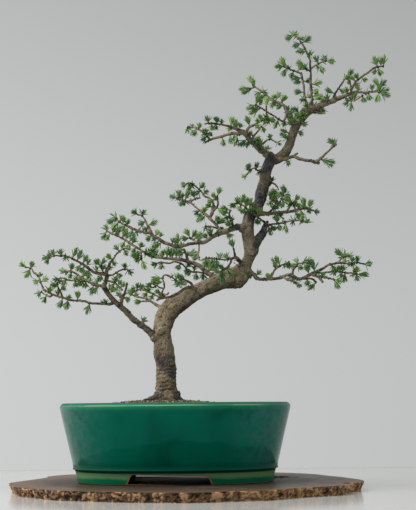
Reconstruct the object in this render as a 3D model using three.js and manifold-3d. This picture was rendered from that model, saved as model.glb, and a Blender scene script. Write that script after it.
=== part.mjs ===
// A larch bonsai in a glazed oval pot, which stands on a bark-edged slab of wood.
// Millimetres, +Z up, front towards -Y. The origin is under the middle of the pot, on the slab's underside.
import * as THREE from "three";
import { mergeVertices } from "three/addons/utils/BufferGeometryUtils.js";
import Module from "manifold-3d";

const wasm = await Module();
wasm.setup();

// --- Driving dimensions ---

const GAP = 0.3; // left between pieces that touch

const SLAB_HEIGHT = 12;
const SLAB_UNDERCUT = 4; // how far the bark edge slopes in on the way down
const SLAB_RELIEF = 2.2; // how far the bark edge swings in and out

const POT_LENGTH = 303; // across the rim, outside
const POT_DEPTH = 225;
const POT_ROUNDNESS = 2.25; // exponent of the oval: 2 is an ellipse, more is boxier
const POT_SEGMENTS = 32;
const RIM_HEIGHT = 114; // above the slab's underside
const RIM_SHOULDER = 107; // where the rim starts to round over
const BODY_BOTTOM = 35; // where the straight wall starts
const BODY_TAPER = 17.6; // how much narrower the body is there, each side
const BODY_EDGE = { height: 31, inset: 17.8 }; // the body's lower edge, over the foot
const FOOT_HEIGHT = 13;
const FOOT_INSET = 23.5; // of the foot ring's outer edge, from the rim's
const FOOT_WIDTH = 9;
const WALL = 8;
const FLOOR_TOP = 33;
const UNDERSIDE = 25.4;
const FOOT_GATE = { middle: -5.5, bottom: 103.5, top: 92 }; // the opening between the feet, front and back

const DRAIN = { spacing: 124, radius: 10 };
const WIRE_HOLE = { spacing: 60, row: 28, radius: 2.2 };
const SCREEN = { side: 34, thickness: 1, bar: 2.5, cells: 2 };
const CLIP = { radius: 0.75, leg: 8, foot: 16 };

const SOIL = { edge: 107.5, mound: 10, middle: -17, reachX: 85, reachY: 70, grain: 1.1 };

const NEEDLE = 9; // length of a spring needle
const SPUR = { height: 1.7, footRadius: 0.8, neckRadius: 1.1, stemRadius: 0.7 };
const SPREAD = { low: 1.02, high: 0.62, end: 0.1 }; // of the needles, off the spur's axis, in radians
const TUFT_REACH = 5.6; // from the twig's skin to the tuft's middle
const TUFT_BACK = 3.2; // from the tuft's middle back to where its needles part
const TUFT_RADIUS = 8; // of the ball that holds a tuft's needles
const TUFT_SPACING = 12.5; // at least this from tuft to tuft on one branch
const STRAIGHT = 0.9; // a route's point this close to the line between its neighbours is left out

// --- Routes, each point [x, y, z, radius] ---

const TRUNK = [
  [-8, 0, 66, 5], [-9, 0, 84, 12], [-10, 0, 104, 17], [-10, 0, 118, 17.5], [-11, 0, 124, 15.2],
  [-12, 0, 131, 13.9], [-12, 0, 144, 13.5], [-12, 0, 157, 13.2],
  [-13, 0, 170, 13], [-15, 0, 183, 13.5], [-17, 0, 197, 12], [-18, 0, 207, 12.2], [-16, 1, 217, 12.7],
  [-11, 2, 231, 13.3], [0, 3, 244, 13.4], [15, 4, 253, 12.1], [30, 5, 262, 10.7], [46, 5, 269, 10.7],
  [61, 4, 275, 10.7], [74, 3, 278, 12.7], [85, 2, 282, 14.7], [92, 1, 292, 10.7], [98, 0, 303, 7.8],
  [101, 0, 310, 8.1], [103, 0, 319, 10.1], [99, -1, 333, 8.3], [98, -2, 343, 9.1], [99, -2, 354, 8.5],
  [102, -1, 364, 8.1], [110, 1, 371, 8.1], [113, 2, 378, 7.2], [116, 2, 385, 7.4], [117, 3, 392, 8.1],
  [119, 3, 399, 8.4], [121, 3, 406, 8.1], [123, 2, 412, 8.1], [123, 1, 419, 7.9], [125, 1, 426, 7.5],
  [128, 0, 433, 7.2], [131, 0, 439, 7.5], [140, -1, 441, 6.8], [149, -2, 447, 6.8],
  [155, -1, 457, 6.1], [159, 0, 468, 5.8], [163, 1, 480, 5.9], [166, 2, 488, 6.8], [172, 3, 498, 7.1],
  [180, 3, 506, 6.7], [190, 3, 511, 5.6], [200, 2, 515, 4.6],
];

const STUB = [
  [107, 0, 322, 6.7], [112, 2, 331, 6.1], [118, 6, 339, 5.4], [121, 7, 346, 4.6], [124, 10, 353, 3.5],
  [126, 12, 358, 2.4],
];

// Surface roots, from the trunk's base down into the soil
const ROOTS = [
  [[-14, -4, 122, 8], [-26, -8, 119.5, 5], [-37, -11, 117.8, 4], [-45, -13, 114.5, 3.2], [-62, -15, 101, 2]],
  [[-9, -6, 122, 8], [-6, -19, 116, 6], [1, -34, 110, 4.2], [6, -56, 98, 2]],
  [[-4, 0, 121, 8], [5, -3, 117, 5.5], [15, -7, 111.5, 4], [42, -8, 99, 2]],
  [[-6, 6, 122, 8], [2, 19, 116, 6], [12, 34, 110, 4.2], [23, 56, 97, 2]],
  [[-15, 5, 121, 8], [-27, 17, 116, 6], [-39, 30, 109, 4.2], [-53, 51, 96, 2]],
];

// Swellings on the trunk: healed cuts and knots, each [x, y, z, radius]
const KNOTS = [
  [-19, -10, 207, 6], [-28, -3, 199, 6], [36, -7, 261, 6], [74, -8, 276, 7], [90, -9, 276, 8],
  [103, -6, 312, 5.5], [117, -4, 391, 5], [100, -7, 352, 4.5], [156, -5, 452, 4], [-4, -9, 166, 5],
  [87, -3, 270, 6.5], [3, -5, 126, 4.5], [-25, -5, 126, 4.5],
];

// Tufts on the trunk itself, each [x, z] of its middle
const TRUNK_TUFTS = [[174, 503], [176, 492], [172, 478], [150, 478], [152, 468]];

// The leafy branches: the routes of their wood, and their tufts, each [x, z] of its middle
const BRANCHES = {
  branch_low_left: {
    wood: [
      [
        [-24, -4, 201, 4.8], [-32, -7, 206, 4.4], [-39, -10, 212, 4.1], [-47, -13, 218, 4],
        [-55, -16, 224, 3.8], [-62, -20, 232, 3.6], [-70, -23, 239, 3.4], [-78, -27, 246, 3.3],
        [-84, -30, 253, 3.1], [-89, -34, 260, 3.1], [-91, -36, 265, 3.4], [-89, -38, 272, 2.2],
        [-87, -41, 278, 2.5], [-88, -41, 283, 2.3], [-85, -42, 290, 2.2], [-83, -41, 296, 1.6],
        [-79, -39, 301, 1], [-75, -36, 308, 0.9], [-70, -32, 313, 0.9], [-65, -29, 316, 0.8],
        [-58, -25, 315, 0.8],
      ],
      [
        [-87, -41, 280, 2.1], [-95, -43, 281, 2], [-101, -46, 282, 1.8], [-106, -49, 284, 1.7],
        [-111, -52, 288, 1.6], [-120, -56, 294, 1.3], [-132, -60, 300, 1], [-139, -63, 302, 0.9],
        [-145, -66, 302, 0.9], [-153, -68, 302, 0.8], [-158, -70, 299, 0.8],
      ],
      [
        [-87, -41, 279, 1.2], [-81, -37, 280, 1], [-76, -34, 283, 1], [-71, -29, 287, 0.9],
        [-66, -25, 289, 0.9], [-62, -22, 289, 0.8],
      ],
      [
        [-91, -36, 266, 1.7], [-99, -34, 267, 1.7], [-106, -31, 269, 1.8], [-112, -28, 273, 1.4],
        [-117, -25, 276, 1.2], [-124, -22, 280, 1.1], [-131, -18, 285, 1.1], [-138, -15, 288, 0.9],
        [-146, -11, 289, 0.8],
      ],
      [
        [-112, -28, 273, 1.2], [-120, -29, 273, 1.1], [-127, -30, 273, 1], [-135, -31, 274, 0.9],
        [-140, -32, 275, 0.9], [-147, -33, 277, 0.8], [-152, -34, 276, 0.8],
      ],
      [
        [-88, -39, 272, 1.3], [-82, -43, 271, 1.2], [-76, -48, 268, 1.2], [-71, -52, 263, 1.2],
        [-66, -56, 258, 1.3],
      ],
      [
        [-69, -24, 240, 2], [-69, -29, 246, 2.1], [-66, -36, 252, 1.7], [-63, -43, 258, 1.3],
        [-61, -49, 264, 1], [-60, -53, 268, 0.8],
      ],
      [
        [-78, -27, 245, 1.8], [-83, -28, 243, 2], [-91, -25, 243, 1.4], [-100, -22, 244, 1.4],
        [-110, -20, 245, 1.3], [-119, -17, 248, 1.3], [-129, -13, 249, 1.3], [-137, -10, 250, 1.3],
        [-146, -5, 253, 1.2], [-155, 0, 256, 1.2], [-163, 4, 259, 1.2], [-171, 8, 263, 1.1],
        [-177, 13, 267, 1.3], [-180, 15, 273, 1.2], [-183, 17, 279, 1.1], [-185, 19, 285, 1.1],
        [-192, 21, 291, 1], [-195, 22, 296, 0.8], [-199, 24, 298, 0.8], [-204, 25, 299, 0.8],
      ],
      [
        [-164, 6, 259, 1.3], [-168, 7, 257, 1.2], [-175, 13, 260, 0.9], [-181, 17, 264, 0.8],
      ],
      [
        [-150, -3, 255, 1.2], [-151, -9, 260, 1.1], [-153, -16, 264, 0.9], [-155, -22, 272, 0.8],
      ],
      [
        [-91, -42, 281, 1], [-95, -45, 291, 0.8],
      ],
    ],
    tufts: [
      [-83, 302], [-99, 295], [-75, 315], [-64, 311], [-104, 269], [-100, 274], [-95, 277],
      [-107, 261], [-79, 264], [-75, 270], [-84, 261], [-43, 220], [-162, 299], [-154, 305],
      [-144, 304], [-127, 306], [-121, 303], [-136, 293], [-114, 298], [-122, 288], [-111, 283],
      [-119, 282], [-100, 284], [-65, 291], [-60, 286], [-73, 280], [-148, 289], [-138, 283],
      [-130, 279], [-122, 271], [-116, 269], [-113, 279], [-153, 275], [-143, 272], [-130, 271],
      [-70, 253], [-62, 249], [-66, 264], [-206, 300], [-195, 301], [-200, 291], [-185, 287],
      [-187, 279], [-177, 280], [-183, 263], [-175, 254], [-168, 263], [-156, 259], [-148, 265],
      [-128, 256], [-144, 243], [-114, 237], [-90, 244], [-158, 269], [-153, 272],
      [-92, 296], [-79, 295], [-117, 287], [-74, 261], [-152, 246], [-161, 295],
    ],
  },
  twig_trunk_crook: {
    wood: [
      [
        [-20, 6, 241, 2.3], [-27, 13, 246, 1.7], [-34, 20, 251, 1.5], [-40, 27, 255, 1.4],
        [-47, 34, 257, 1.2], [-54, 41, 259, 1.1], [-61, 48, 263, 0.8],
      ],
      [
        [-34, 20, 251, 1.1], [-40, 27, 251, 1], [-44, 34, 252, 0.8],
      ],
    ],
    tufts: [
      [-63, 265], [-59, 268], [-50, 251],
    ],
  },
  twigs_over_bend: {
    wood: [
      [
        [28, -4, 264, 2.3], [20, -8, 266, 1.9], [13, -11, 264, 1.7], [5, -15, 258, 1.6],
        [-3, -20, 253, 1.5], [-11, -24, 251, 1.4], [-17, -28, 250, 1.8], [-23, -31, 247, 0.9],
      ],
      [
        [24, -8, 265, 1.6], [23, -10, 269, 1.5], [19, -11, 273, 1.3], [14, -14, 275, 1.1],
      ],
      [
        [-12, -24, 251, 1.2], [-16, -25, 256, 1.1], [-15, -27, 260, 0.9], [-13, -29, 264, 0.9],
        [-13, -31, 269, 0.9], [-15, -30, 276, 0.9], [-13, -29, 280, 0.8], [-9, -28, 280, 0.8],
        [-4, -26, 278, 0.8], [1, -24, 275, 0.8], [6, -22, 272, 0.8],
      ],
      [
        [-16, -25, 256, 0.9], [-12, -29, 254, 0.9], [-8, -34, 255, 0.8], [-7, -35, 257, 0.8],
      ],
      [
        [-15, -28, 263, 0.8], [-19, -24, 264, 0.8], [-23, -21, 267, 0.8], [-28, -17, 265, 0.8],
        [-31, -15, 266, 0.8],
      ],
      [
        [-19, -28, 251, 0.9], [-27, -22, 256, 0.9], [-32, -19, 258, 0.9], [-38, -15, 261, 0.8],
        [-45, -11, 263, 0.8], [-50, -8, 263, 0.8], [-54, -6, 261, 0.8],
      ],
    ],
    tufts: [
      [12, 276], [-32, 267], [-26, 269], [-22, 275], [4, 279], [5, 270], [8, 274], [-20, 257],
      [-29, 253], [-38, 256], [-35, 261], [-50, 268], [-45, 265],
      [11, 270],
    ],
  },
  branch_left_rear: {
    wood: [
      [
        [53, 14, 279, 3.9], [51, 17, 284, 3.7], [45, 20, 287, 3.3], [39, 22, 293, 3.1],
        [34, 24, 298, 2.9], [26, 26, 302, 2.7], [17, 28, 305, 2.6], [9, 31, 308, 2.3],
        [-5, 35, 310, 1.8], [-19, 40, 312, 1.7], [-33, 45, 315, 1.5], [-43, 50, 321, 1.4],
        [-51, 56, 327, 1.4], [-60, 61, 333, 1.3], [-69, 66, 340, 1.3], [-79, 70, 346, 1.1],
        [-89, 74, 351, 1.1], [-98, 78, 356, 1],
      ],
      [
        [17, 28, 307, 1.9], [15, 24, 314, 1.6], [12, 20, 321, 1.5],
      ],
      [
        [42, 21, 288, 1.2], [31, 24, 290, 1.1], [23, 28, 291, 1.1], [16, 27, 295, 1.1],
        [11, 25, 300, 1.1], [5, 22, 303, 1], [-1, 20, 304, 1], [-8, 20, 302, 1], [-16, 20, 303, 0.8],
        [-22, 22, 303, 0.8],
      ],
      [
        [-48, 54, 325, 1], [-48, 52, 312, 0.8],
      ],
    ],
    tufts: [
      [-99, 360], [-102, 349], [-88, 355], [-79, 358], [-72, 350], [-69, 357], [-61, 344], [-74, 336],
      [-66, 332], [-48, 331], [-54, 314], [-45, 305], [-40, 319], [-35, 322], [-28, 328], [-26, 333],
      [-21, 314], [-17, 318], [-31, 314], [-10, 323], [-3, 321], [2, 318], [8, 320], [-7, 315],
      [24, 315], [-27, 301], [-19, 298], [5, 297], [17, 292], [28, 285], [26, 295], [43, 301],
      [-52, 310], [-55, 317], [-58, 326], [-59, 338], [-96, 347], [49, 294], [17, 299], [8, 315],
      [38, 284],
    ],
  },
  twigs_inside_bend: {
    wood: [
      [
        [91, -7, 297, 2.7], [85, -11, 303, 2.1], [81, -14, 306, 1.6], [80, -17, 310, 1.3],
        [79, -20, 315, 1.2],
      ],
      [
        [85, -11, 303, 1.3], [77, -20, 303, 1.1], [68, -28, 300, 0.9], [59, -35, 300, 0.9],
        [50, -42, 300, 0.8], [42, -48, 300, 0.8],
      ],
      [
        [82, -13, 305, 1.5], [77, -15, 303, 1.3], [74, -17, 296, 1.2], [68, -22, 289, 1.1],
        [62, -28, 284, 0.9],
      ],
    ],
    tufts: [
      [77, 322], [41, 297], [60, 302], [69, 304], [50, 296], [56, 291], [63, 289], [46, 290],
      [63, 282], [76, 283], [62, 274],
      [56, 285], [41, 294], [53, 292],
    ],
  },
  branch_middle_left: {
    wood: [
      [
        [92, -4, 346, 5.4], [85, -6, 347, 4.6], [79, -8, 345, 4], [70, -10, 341, 3.7],
        [61, -12, 338, 3.5], [53, -14, 334, 2.9], [46, -16, 329, 2.5], [40, -18, 325, 2.3],
        [32, -20, 324, 2], [24, -21, 323, 1.9], [16, -22, 321, 1.9], [9, -24, 319, 2.1],
        [1, -24, 319, 2.4], [-7, -25, 322, 2.2], [-15, -24, 325, 2.1], [-21, -24, 330, 1.9],
        [-28, -23, 334, 1.7], [-32, -22, 338, 2.3], [-39, -21, 338, 1.6], [-47, -20, 341, 1.5],
        [-55, -18, 344, 1.6], [-59, -17, 346, 1.9], [-64, -15, 349, 1.1], [-70, -13, 352, 0.9],
        [-75, -10, 356, 0.9], [-78, -8, 360, 0.8],
      ],
      [
        [-31, -22, 339, 1.2], [-34, -20, 346, 1.1], [-37, -17, 352, 1.1], [-40, -13, 358, 0.9],
        [-43, -8, 363, 0.9], [-49, -6, 365, 0.8],
      ],
      [
        [62, -13, 339, 2.1], [59, -10, 345, 1.7], [55, -7, 351, 1.7], [50, -4, 357, 1.7],
        [45, 0, 363, 2], [39, 4, 368, 1.4], [33, 7, 373, 1.2], [28, 10, 378, 1.1], [22, 14, 384, 1.1],
        [23, 16, 387, 1], [28, 18, 390, 0.8], [35, 20, 392, 0.8],
      ],
      [
        [48, -1, 360, 1.6], [51, 6, 369, 2.2], [52, 13, 378, 1.5], [52, 18, 386, 1.2],
        [47, 22, 392, 1.1], [41, 25, 395, 1.1], [37, 28, 401, 1], [33, 31, 406, 1], [28, 34, 411, 0.8],
        [24, 35, 414, 0.8], [17, 36, 415, 0.8],
      ],
      [
        [52, 8, 371, 1.2], [58, 4, 377, 1.1], [59, 0, 381, 1.1], [58, -3, 386, 0.9],
        [58, -6, 389, 0.8],
      ],
      [
        [79, -7, 346, 1.9], [77, -13, 354, 1.3], [74, -16, 360, 1.2], [74, -20, 364, 1.1],
        [75, -21, 367, 0.9],
      ],
      [
        [57, -11, 345, 0.9], [49, -17, 346, 0.9], [42, -21, 346, 0.8],
      ],
      [
        [29, -20, 324, 1.1], [26, -14, 329, 0.9], [21, -11, 332, 0.8],
      ],
      [
        [33, -20, 324, 0.9], [33, -22, 315, 0.8], [32, -25, 307, 0.8], [33, -28, 300, 0.8],
      ],
      [
        [22, 14, 384, 1.2], [13, 16, 388, 1], [3, 17, 391, 0.8],
      ],
    ],
    tufts: [
      [-79, 361], [-85, 355], [-70, 358], [-62, 351], [-78, 350], [-57, 338], [-49, 341], [-33, 331],
      [-23, 336], [-53, 367], [-42, 365], [-43, 351], [-28, 351], [-37, 344], [5, 391], [14, 386],
      [17, 395], [19, 405], [25, 397], [31, 400], [31, 369], [34, 360], [39, 372], [14, 414],
      [23, 412], [37, 410], [42, 400], [50, 386], [48, 378], [60, 395], [64, 369], [72, 352],
      [75, 349], [63, 354], [57, 357], [72, 358], [42, 345], [72, 338], [42, 333], [49, 337],
      [26, 336], [17, 339], [15, 331], [5, 329],
      [6, 397], [-2, 393], [9, 384], [-24, 322], [-67, 346], [69, 369], [-1, 326], [34, 335], [54, 390],
      [29, 303],
    ],
  },
  branch_middle_right: {
    wood: [
      [
        [112, 3, 369, 3.2], [120, 6, 367, 3], [130, 12, 368, 2.6], [139, 18, 370, 2.3], [150, 26, 372, 2.1],
        [158, 34, 374, 1.8], [167, 43, 378, 1.5], [177, 53, 381, 1.3], [186, 62, 383, 1.1],
        [193, 70, 382, 0.8],
      ],
      [
        [127, 10, 368, 1.6], [132, 7, 372, 1.4], [137, 2, 374, 1.2], [141, -3, 378, 1.1],
        [143, -10, 382, 0.9], [146, -17, 388, 0.8],
      ],
      [
        [153, 29, 373, 1.2], [158, 25, 380, 1.1], [163, 20, 385, 0.8],
      ],
      [
        [139, 18, 370, 1], [144, 13, 364, 0.8], [148, 8, 360, 0.8],
      ],
      [
        [140, -2, 377, 1], [134, -4, 382, 0.9], [129, -5, 386, 0.8],
      ],
    ],
    tufts: [
      [146, 397], [135, 393], [147, 392], [156, 389], [143, 388], [151, 387], [133, 385], [167, 389],
      [179, 392], [189, 390], [140, 380], [149, 381], [158, 383], [163, 381], [171, 383], [181, 382],
      [187, 381], [198, 380], [176, 374], [170, 368], [139, 364], [144, 364], [136, 373],
      [129, 390], [133, 395], [130, 380], [146, 383],
    ],
  },
  twig_trunk_right: {
    wood: [
      [
        [127, 3, 407, 1.4], [131, 0, 408, 1.1], [135, -4, 406, 0.9], [139, -10, 400, 0.8],
        [140, -13, 396, 0.8],
      ],
    ],
    tufts: [
      [132, 412],
    ],
  },
  twigs_on_stub: {
    wood: [
      [
        [122, 10, 349, 1.8], [128, 7, 351, 1.4], [133, 4, 352, 1.2], [139, 0, 352, 1.1],
        [147, -4, 353, 1.1], [155, -8, 354, 0.9], [163, -13, 354, 0.9], [170, -18, 353, 0.8],
        [175, -22, 350, 0.8],
      ],
      [
        [124, 11, 353, 1.5], [117, 3, 358, 1.1], [111, -7, 361, 0.9], [105, -15, 363, 0.8],
      ],
    ],
    tufts: [
      [132, 346], [141, 347], [150, 344], [159, 354], [171, 351], [176, 350], [103, 365], [114, 367],
      [110, 354],
      [129, 343], [138, 357],
    ],
  },
  twig_trunk_left: {
    wood: [
      [
        [103, -4, 366, 1.5], [98, -8, 371, 1.1], [94, -12, 374, 0.9], [89, -15, 376, 0.9],
        [84, -20, 377, 0.8], [79, -25, 375, 0.8],
      ],
    ],
    tufts: [
      [78, 373], [84, 378], [92, 382], [99, 378], [104, 384], [88, 372], [93, 369],
    ],
  },
  twig_high_left: {
    wood: [
      [
        [119, -3, 424, 1.4], [113, -7, 424, 1.1], [108, -11, 426, 0.9], [103, -15, 423, 0.8],
        [98, -20, 416, 0.8],
      ],
    ],
    tufts: [
      [101, 426], [111, 427], [96, 415],
    ],
  },
  branch_high_left: {
    wood: [
      [
        [131, -3, 442, 4.9], [124, -6, 447, 4.5], [116, -8, 453, 4.3], [110, -11, 459, 4],
        [104, -14, 463, 4], [99, -17, 469, 3.6], [95, -20, 473, 3.2], [89, -22, 475, 2.5],
        [84, -25, 477, 2], [78, -29, 478, 1.7], [72, -34, 479, 1.3], [64, -38, 480, 1.1],
        [56, -42, 480, 1.1], [48, -46, 480, 0.9], [42, -50, 478, 0.8],
      ],
      [
        [93, -20, 473, 2.6], [87, -17, 472, 2.3], [80, -14, 474, 2], [73, -11, 473, 1.8],
        [65, -8, 471, 1.6], [57, -4, 470, 1.6], [49, -1, 468, 1.4], [42, 3, 465, 0.8],
      ],
      [
        [49, -1, 468, 1.2], [46, 1, 472, 1.1], [41, 3, 477, 1.1], [37, 5, 482, 1], [33, 7, 485, 1],
        [27, 10, 488, 0.8], [18, 14, 489, 0.8],
      ],
      [
        [97, -18, 471, 2.2], [101, -24, 479, 1.5], [107, -27, 481, 1.2], [113, -29, 484, 1.1],
        [118, -32, 486, 0.9], [123, -36, 489, 0.9], [124, -39, 495, 0.8], [124, -42, 502, 0.8],
      ],
      [
        [105, -13, 463, 1.5], [108, -8, 471, 1.2], [113, -6, 477, 1.1], [116, -3, 482, 1],
        [120, 0, 487, 0.8],
      ],
      [
        [116, -10, 456, 1.4], [123, -17, 461, 1.1], [128, -22, 463, 0.9], [133, -28, 460, 0.8],
        [136, -36, 456, 0.8],
      ],
    ],
    tufts: [
      [42, 477], [46, 483], [58, 483], [56, 476], [78, 486], [84, 482], [75, 478], [112, 466],
      [108, 459], [114, 455], [93, 460], [100, 459], [118, 461], [125, 454], [18, 488], [28, 481],
      [34, 486], [42, 476], [41, 470], [51, 476], [66, 464], [84, 464], [77, 466], [100, 487],
      [110, 480], [116, 490], [129, 487], [136, 483], [121, 484], [124, 510], [123, 485], [129, 463],
      [138, 454],
      [104, 473], [123, 488],
    ],
  },
  branch_high_right: {
    wood: [
      [
        [143, -4, 440, 2.6], [151, -7, 439, 2.2], [157, -10, 441, 2], [162, -13, 441, 2],
        [168, -15, 438, 2], [176, -18, 435, 2], [184, -22, 433, 2.1], [190, -25, 431, 2.1],
        [196, -29, 435, 1.5], [204, -32, 442, 1.2], [212, -34, 449, 1.1], [216, -36, 452, 0.9],
      ],
      [
        [160, -13, 441, 1.5], [167, -6, 447, 1.2],
      ],
      [
        [187, -24, 431, 2], [195, -22, 430, 2],
      ],
      [
        [195, -28, 434, 0.9], [200, -28, 432, 0.8],
      ],
    ],
    tufts: [
      [210, 455], [215, 454], [206, 428], [153, 434],
      [208, 430],
    ],
  },
  leader_left: {
    wood: [
      [
        [164, 6, 493, 3.3], [158, 9, 501, 2.9], [155, 13, 509, 2.5], [153, 16, 517, 2.1],
        [148, 20, 523, 1.8], [141, 23, 527, 1.7], [134, 27, 531, 1.4], [129, 30, 537, 1.3],
        [124, 34, 543, 1.3], [118, 38, 549, 1.1], [110, 42, 556, 0.8],
      ],
      [
        [155, 11, 508, 1.6], [149, 3, 494, 1.1], [136, -4, 500, 1], [129, -7, 503, 1],
        [122, -10, 507, 0.8], [116, -13, 510, 0.8], [111, -17, 512, 0.8],
      ],
      [
        [113, 40, 553, 0.9], [106, 38, 550, 0.8],
      ],
      [
        [118, -12, 509, 0.9], [114, -13, 506, 0.8],
      ],
    ],
    tufts: [
      [107, 564], [99, 549], [118, 541], [114, 521], [124, 545], [137, 534], [144, 535], [150, 528],
      [140, 524], [146, 518], [104, 508], [150, 493], [162, 506], [155, 516],
      [99, 545], [107, 502], [140, 490], [123, 536], [162, 511], [152, 530], [137, 525],
    ],
  },
  leader_tall: {
    wood: [
      [
        [186, 3, 515, 2.7], [189, 0, 523, 1.8], [188, -1, 529, 1.6], [188, -3, 536, 1.5],
        [187, -5, 544, 1.4], [187, -7, 552, 1.4], [187, -9, 559, 1.2], [186, -11, 567, 1.2],
        [186, -10, 576, 1.2], [182, -8, 588, 1.2], [176, -6, 601, 1], [171, -3, 610, 0.8],
        [167, 0, 615, 0.8],
      ],
      [
        [187, -10, 563, 1.1], [190, -14, 565, 1], [198, -18, 569, 0.8], [206, -25, 570, 0.8],
      ],
      [
        [186, -10, 560, 1], [182, -6, 564, 0.8], [179, 0, 568, 0.8],
      ],
    ],
    tufts: [
      [159, 611], [166, 617], [174, 609], [184, 606], [168, 597], [174, 590], [185, 581], [194, 574],
      [205, 573], [212, 569], [200, 562], [180, 565], [195, 544], [192, 532], [197, 524],
      [172, 575],
    ],
  },
  leader_middle: {
    wood: [
      [
        [181, 6, 512, 2.6], [183, 11, 520, 1.9], [181, 15, 527, 1.7], [180, 18, 535, 1.5],
        [180, 21, 543, 1.4], [180, 24, 549, 1.4], [179, 27, 557, 1.3], [177, 31, 570, 1.5],
      ],
      [
        [177, 31, 569, 1.1], [172, 32, 572, 1], [165, 34, 575, 1], [159, 35, 579, 0.8],
        [154, 36, 581, 0.8],
      ],
    ],
    tufts: [
      [177, 580], [152, 589], [144, 580], [154, 571], [165, 569], [170, 561], [170, 539], [178, 526],
      [185, 557],
      [185, 531],
    ],
  },
  leader_right: {
    wood: [
      [
        [194, 3, 512, 4.4], [200, 3, 515, 4.4], [208, 1, 518, 4], [216, 0, 521, 3.7],
        [224, -2, 524, 3.3], [232, -4, 526, 2.7], [240, -6, 529, 2.2], [247, -8, 531, 1.8],
        [254, -11, 530, 1.4], [261, -14, 528, 1.2], [267, -16, 529, 1.1], [274, -18, 529, 1.1],
        [277, -20, 533, 0.8],
      ],
      [
        [217, 0, 523, 1.6], [222, 6, 534, 1.2], [227, 10, 542, 1.1], [231, 13, 548, 1.1],
        [234, 16, 553, 1], [238, 20, 559, 0.8],
      ],
      [
        [242, -6, 530, 1.9], [241, -11, 537, 1.2], [239, -15, 544, 0.9],
      ],
      [
        [242, -7, 534, 1.5], [249, -2, 547, 1.4], [257, 3, 555, 1.2], [265, 7, 561, 1.2],
        [272, 11, 567, 1.2], [279, 17, 573, 1.2], [291, 22, 576, 0.8],
      ],
      [
        [233, -4, 525, 1.1], [239, -11, 518, 0.8], [246, -20, 517, 0.8], [255, -28, 521, 0.8],
      ],
      [
        [190, 3, 509, 1.4], [198, -4, 503, 1.1], [205, -10, 501, 0.8],
      ],
      [
        [274, -18, 529, 0.9], [278, -20, 527, 0.8],
      ],
    ],
    tufts: [
      [213, 536], [231, 538], [236, 530], [243, 564], [251, 552], [260, 552], [249, 544], [251, 536],
      [280, 582], [292, 585], [285, 568], [275, 539], [285, 541], [284, 524], [265, 524], [255, 518],
      [276, 521], [245, 521], [240, 525], [240, 511], [204, 510], [204, 522], [211, 525],
      [284, 529], [269, 534], [237, 546], [245, 551],
    ],
  },
  branch_low_right: {
    wood: [
      [
        [97, -1, 288, 3.5], [105, -4, 283, 2.7], [109, -6, 278, 2.5], [116, -8, 276, 2.1],
        [124, -11, 276, 2], [133, -13, 276, 2], [141, -15, 277, 1.9], [148, -18, 280, 1.7],
        [154, -20, 280, 2.1], [161, -21, 276, 1.8], [165, -22, 274, 2.1], [171, -24, 276, 1.7],
        [178, -25, 279, 1.7], [184, -27, 282, 1.6], [191, -28, 285, 1.8], [197, -29, 288, 1.3],
        [204, -31, 292, 1.3], [210, -32, 293, 1.3], [216, -34, 294, 1.6], [224, -36, 293, 1],
        [233, -38, 293, 1], [241, -40, 293, 0.9], [248, -42, 291, 0.8],
      ],
      [
        [128, -13, 277, 1.3], [131, -8, 284, 1.1], [135, -6, 290, 1.1], [140, -3, 294, 0.9],
        [147, 1, 297, 0.8], [154, 6, 299, 0.8],
      ],
      [
        [156, -20, 280, 1.5], [157, -24, 286, 1.2], [161, -27, 291, 1.1], [163, -29, 294, 0.9],
        [169, -34, 294, 0.8],
      ],
      [
        [144, -17, 278, 1.3], [149, -22, 274, 1.5], [154, -27, 272, 1.2], [159, -31, 269, 0.9],
      ],
      [
        [166, -22, 275, 1.3], [173, -17, 275, 1.2], [180, -11, 276, 1.2], [185, -7, 275, 1.2],
        [189, -4, 271, 1.2],
      ],
      [
        [180, -27, 280, 1.7], [188, -31, 276, 1.4], [195, -36, 268, 1.3],
      ],
      [
        [185, -27, 283, 1.2], [195, -21, 282, 1.1], [204, -15, 284, 1.1], [212, -11, 285, 1.1],
        [221, -7, 285, 0.9], [230, -4, 284, 0.9], [240, 0, 284, 0.8], [244, 3, 283, 0.8],
      ],
      [
        [189, -32, 277, 1], [196, -36, 274, 0.9], [203, -41, 273, 0.8], [208, -43, 271, 0.8],
      ],
      [
        [215, -34, 294, 1], [223, -24, 302, 0.9], [232, -17, 305, 0.8],
      ],
    ],
    tufts: [
      [137, 303], [151, 297], [128, 280], [111, 283], [162, 296], [165, 289], [171, 294], [177, 295],
      [175, 286], [183, 293], [163, 266], [158, 275], [176, 272], [183, 266], [186, 279], [194, 276],
      [208, 289], [215, 285], [221, 289], [227, 278], [245, 279], [254, 282], [244, 287], [213, 269],
      [217, 308], [225, 304], [233, 305], [224, 295], [224, 288], [233, 292], [239, 295], [243, 287],
      [251, 290],
      [133, 300], [158, 296], [211, 265],
    ],
  },
};

// The slab's outline at its upper face, each [x, y]
const SLAB_OUTLINE = [
  [-218, -6], [-209, 34], [-197, 69], [-188, 100], [-184, 121], [-187, 138], [-173, 168], [-154, 185],
  [-118, 190], [-80, 197], [-42, 194], [-8, 201], [30, 196], [72, 200], [106, 194], [137, 192], [175, 165],
  [198, 132], [212, 95], [226, 66], [233, 41], [244, 3], [243, -28], [229, -62], [213, -60], [217, -84],
  [209, -103], [186, -122], [152, -140], [132, -162], [102, -184], [68, -191], [42, -202], [11, -206],
  [-23, -199], [-47, -192], [-70, -186], [-94, -175], [-131, -156], [-148, -144], [-174, -109], [-195, -85],
  [-207, -44],
];

// A drying crack that runs in from the slab's right end, each [x, y] along it, and half its width there
const CRACK = { route: [[250, 22], [216, 16], [184, 14], [156, 8]], halfWidth: [1.6, 1.3, 1.1, 0.3], depth: 7 };

// --- Solids ---

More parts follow.
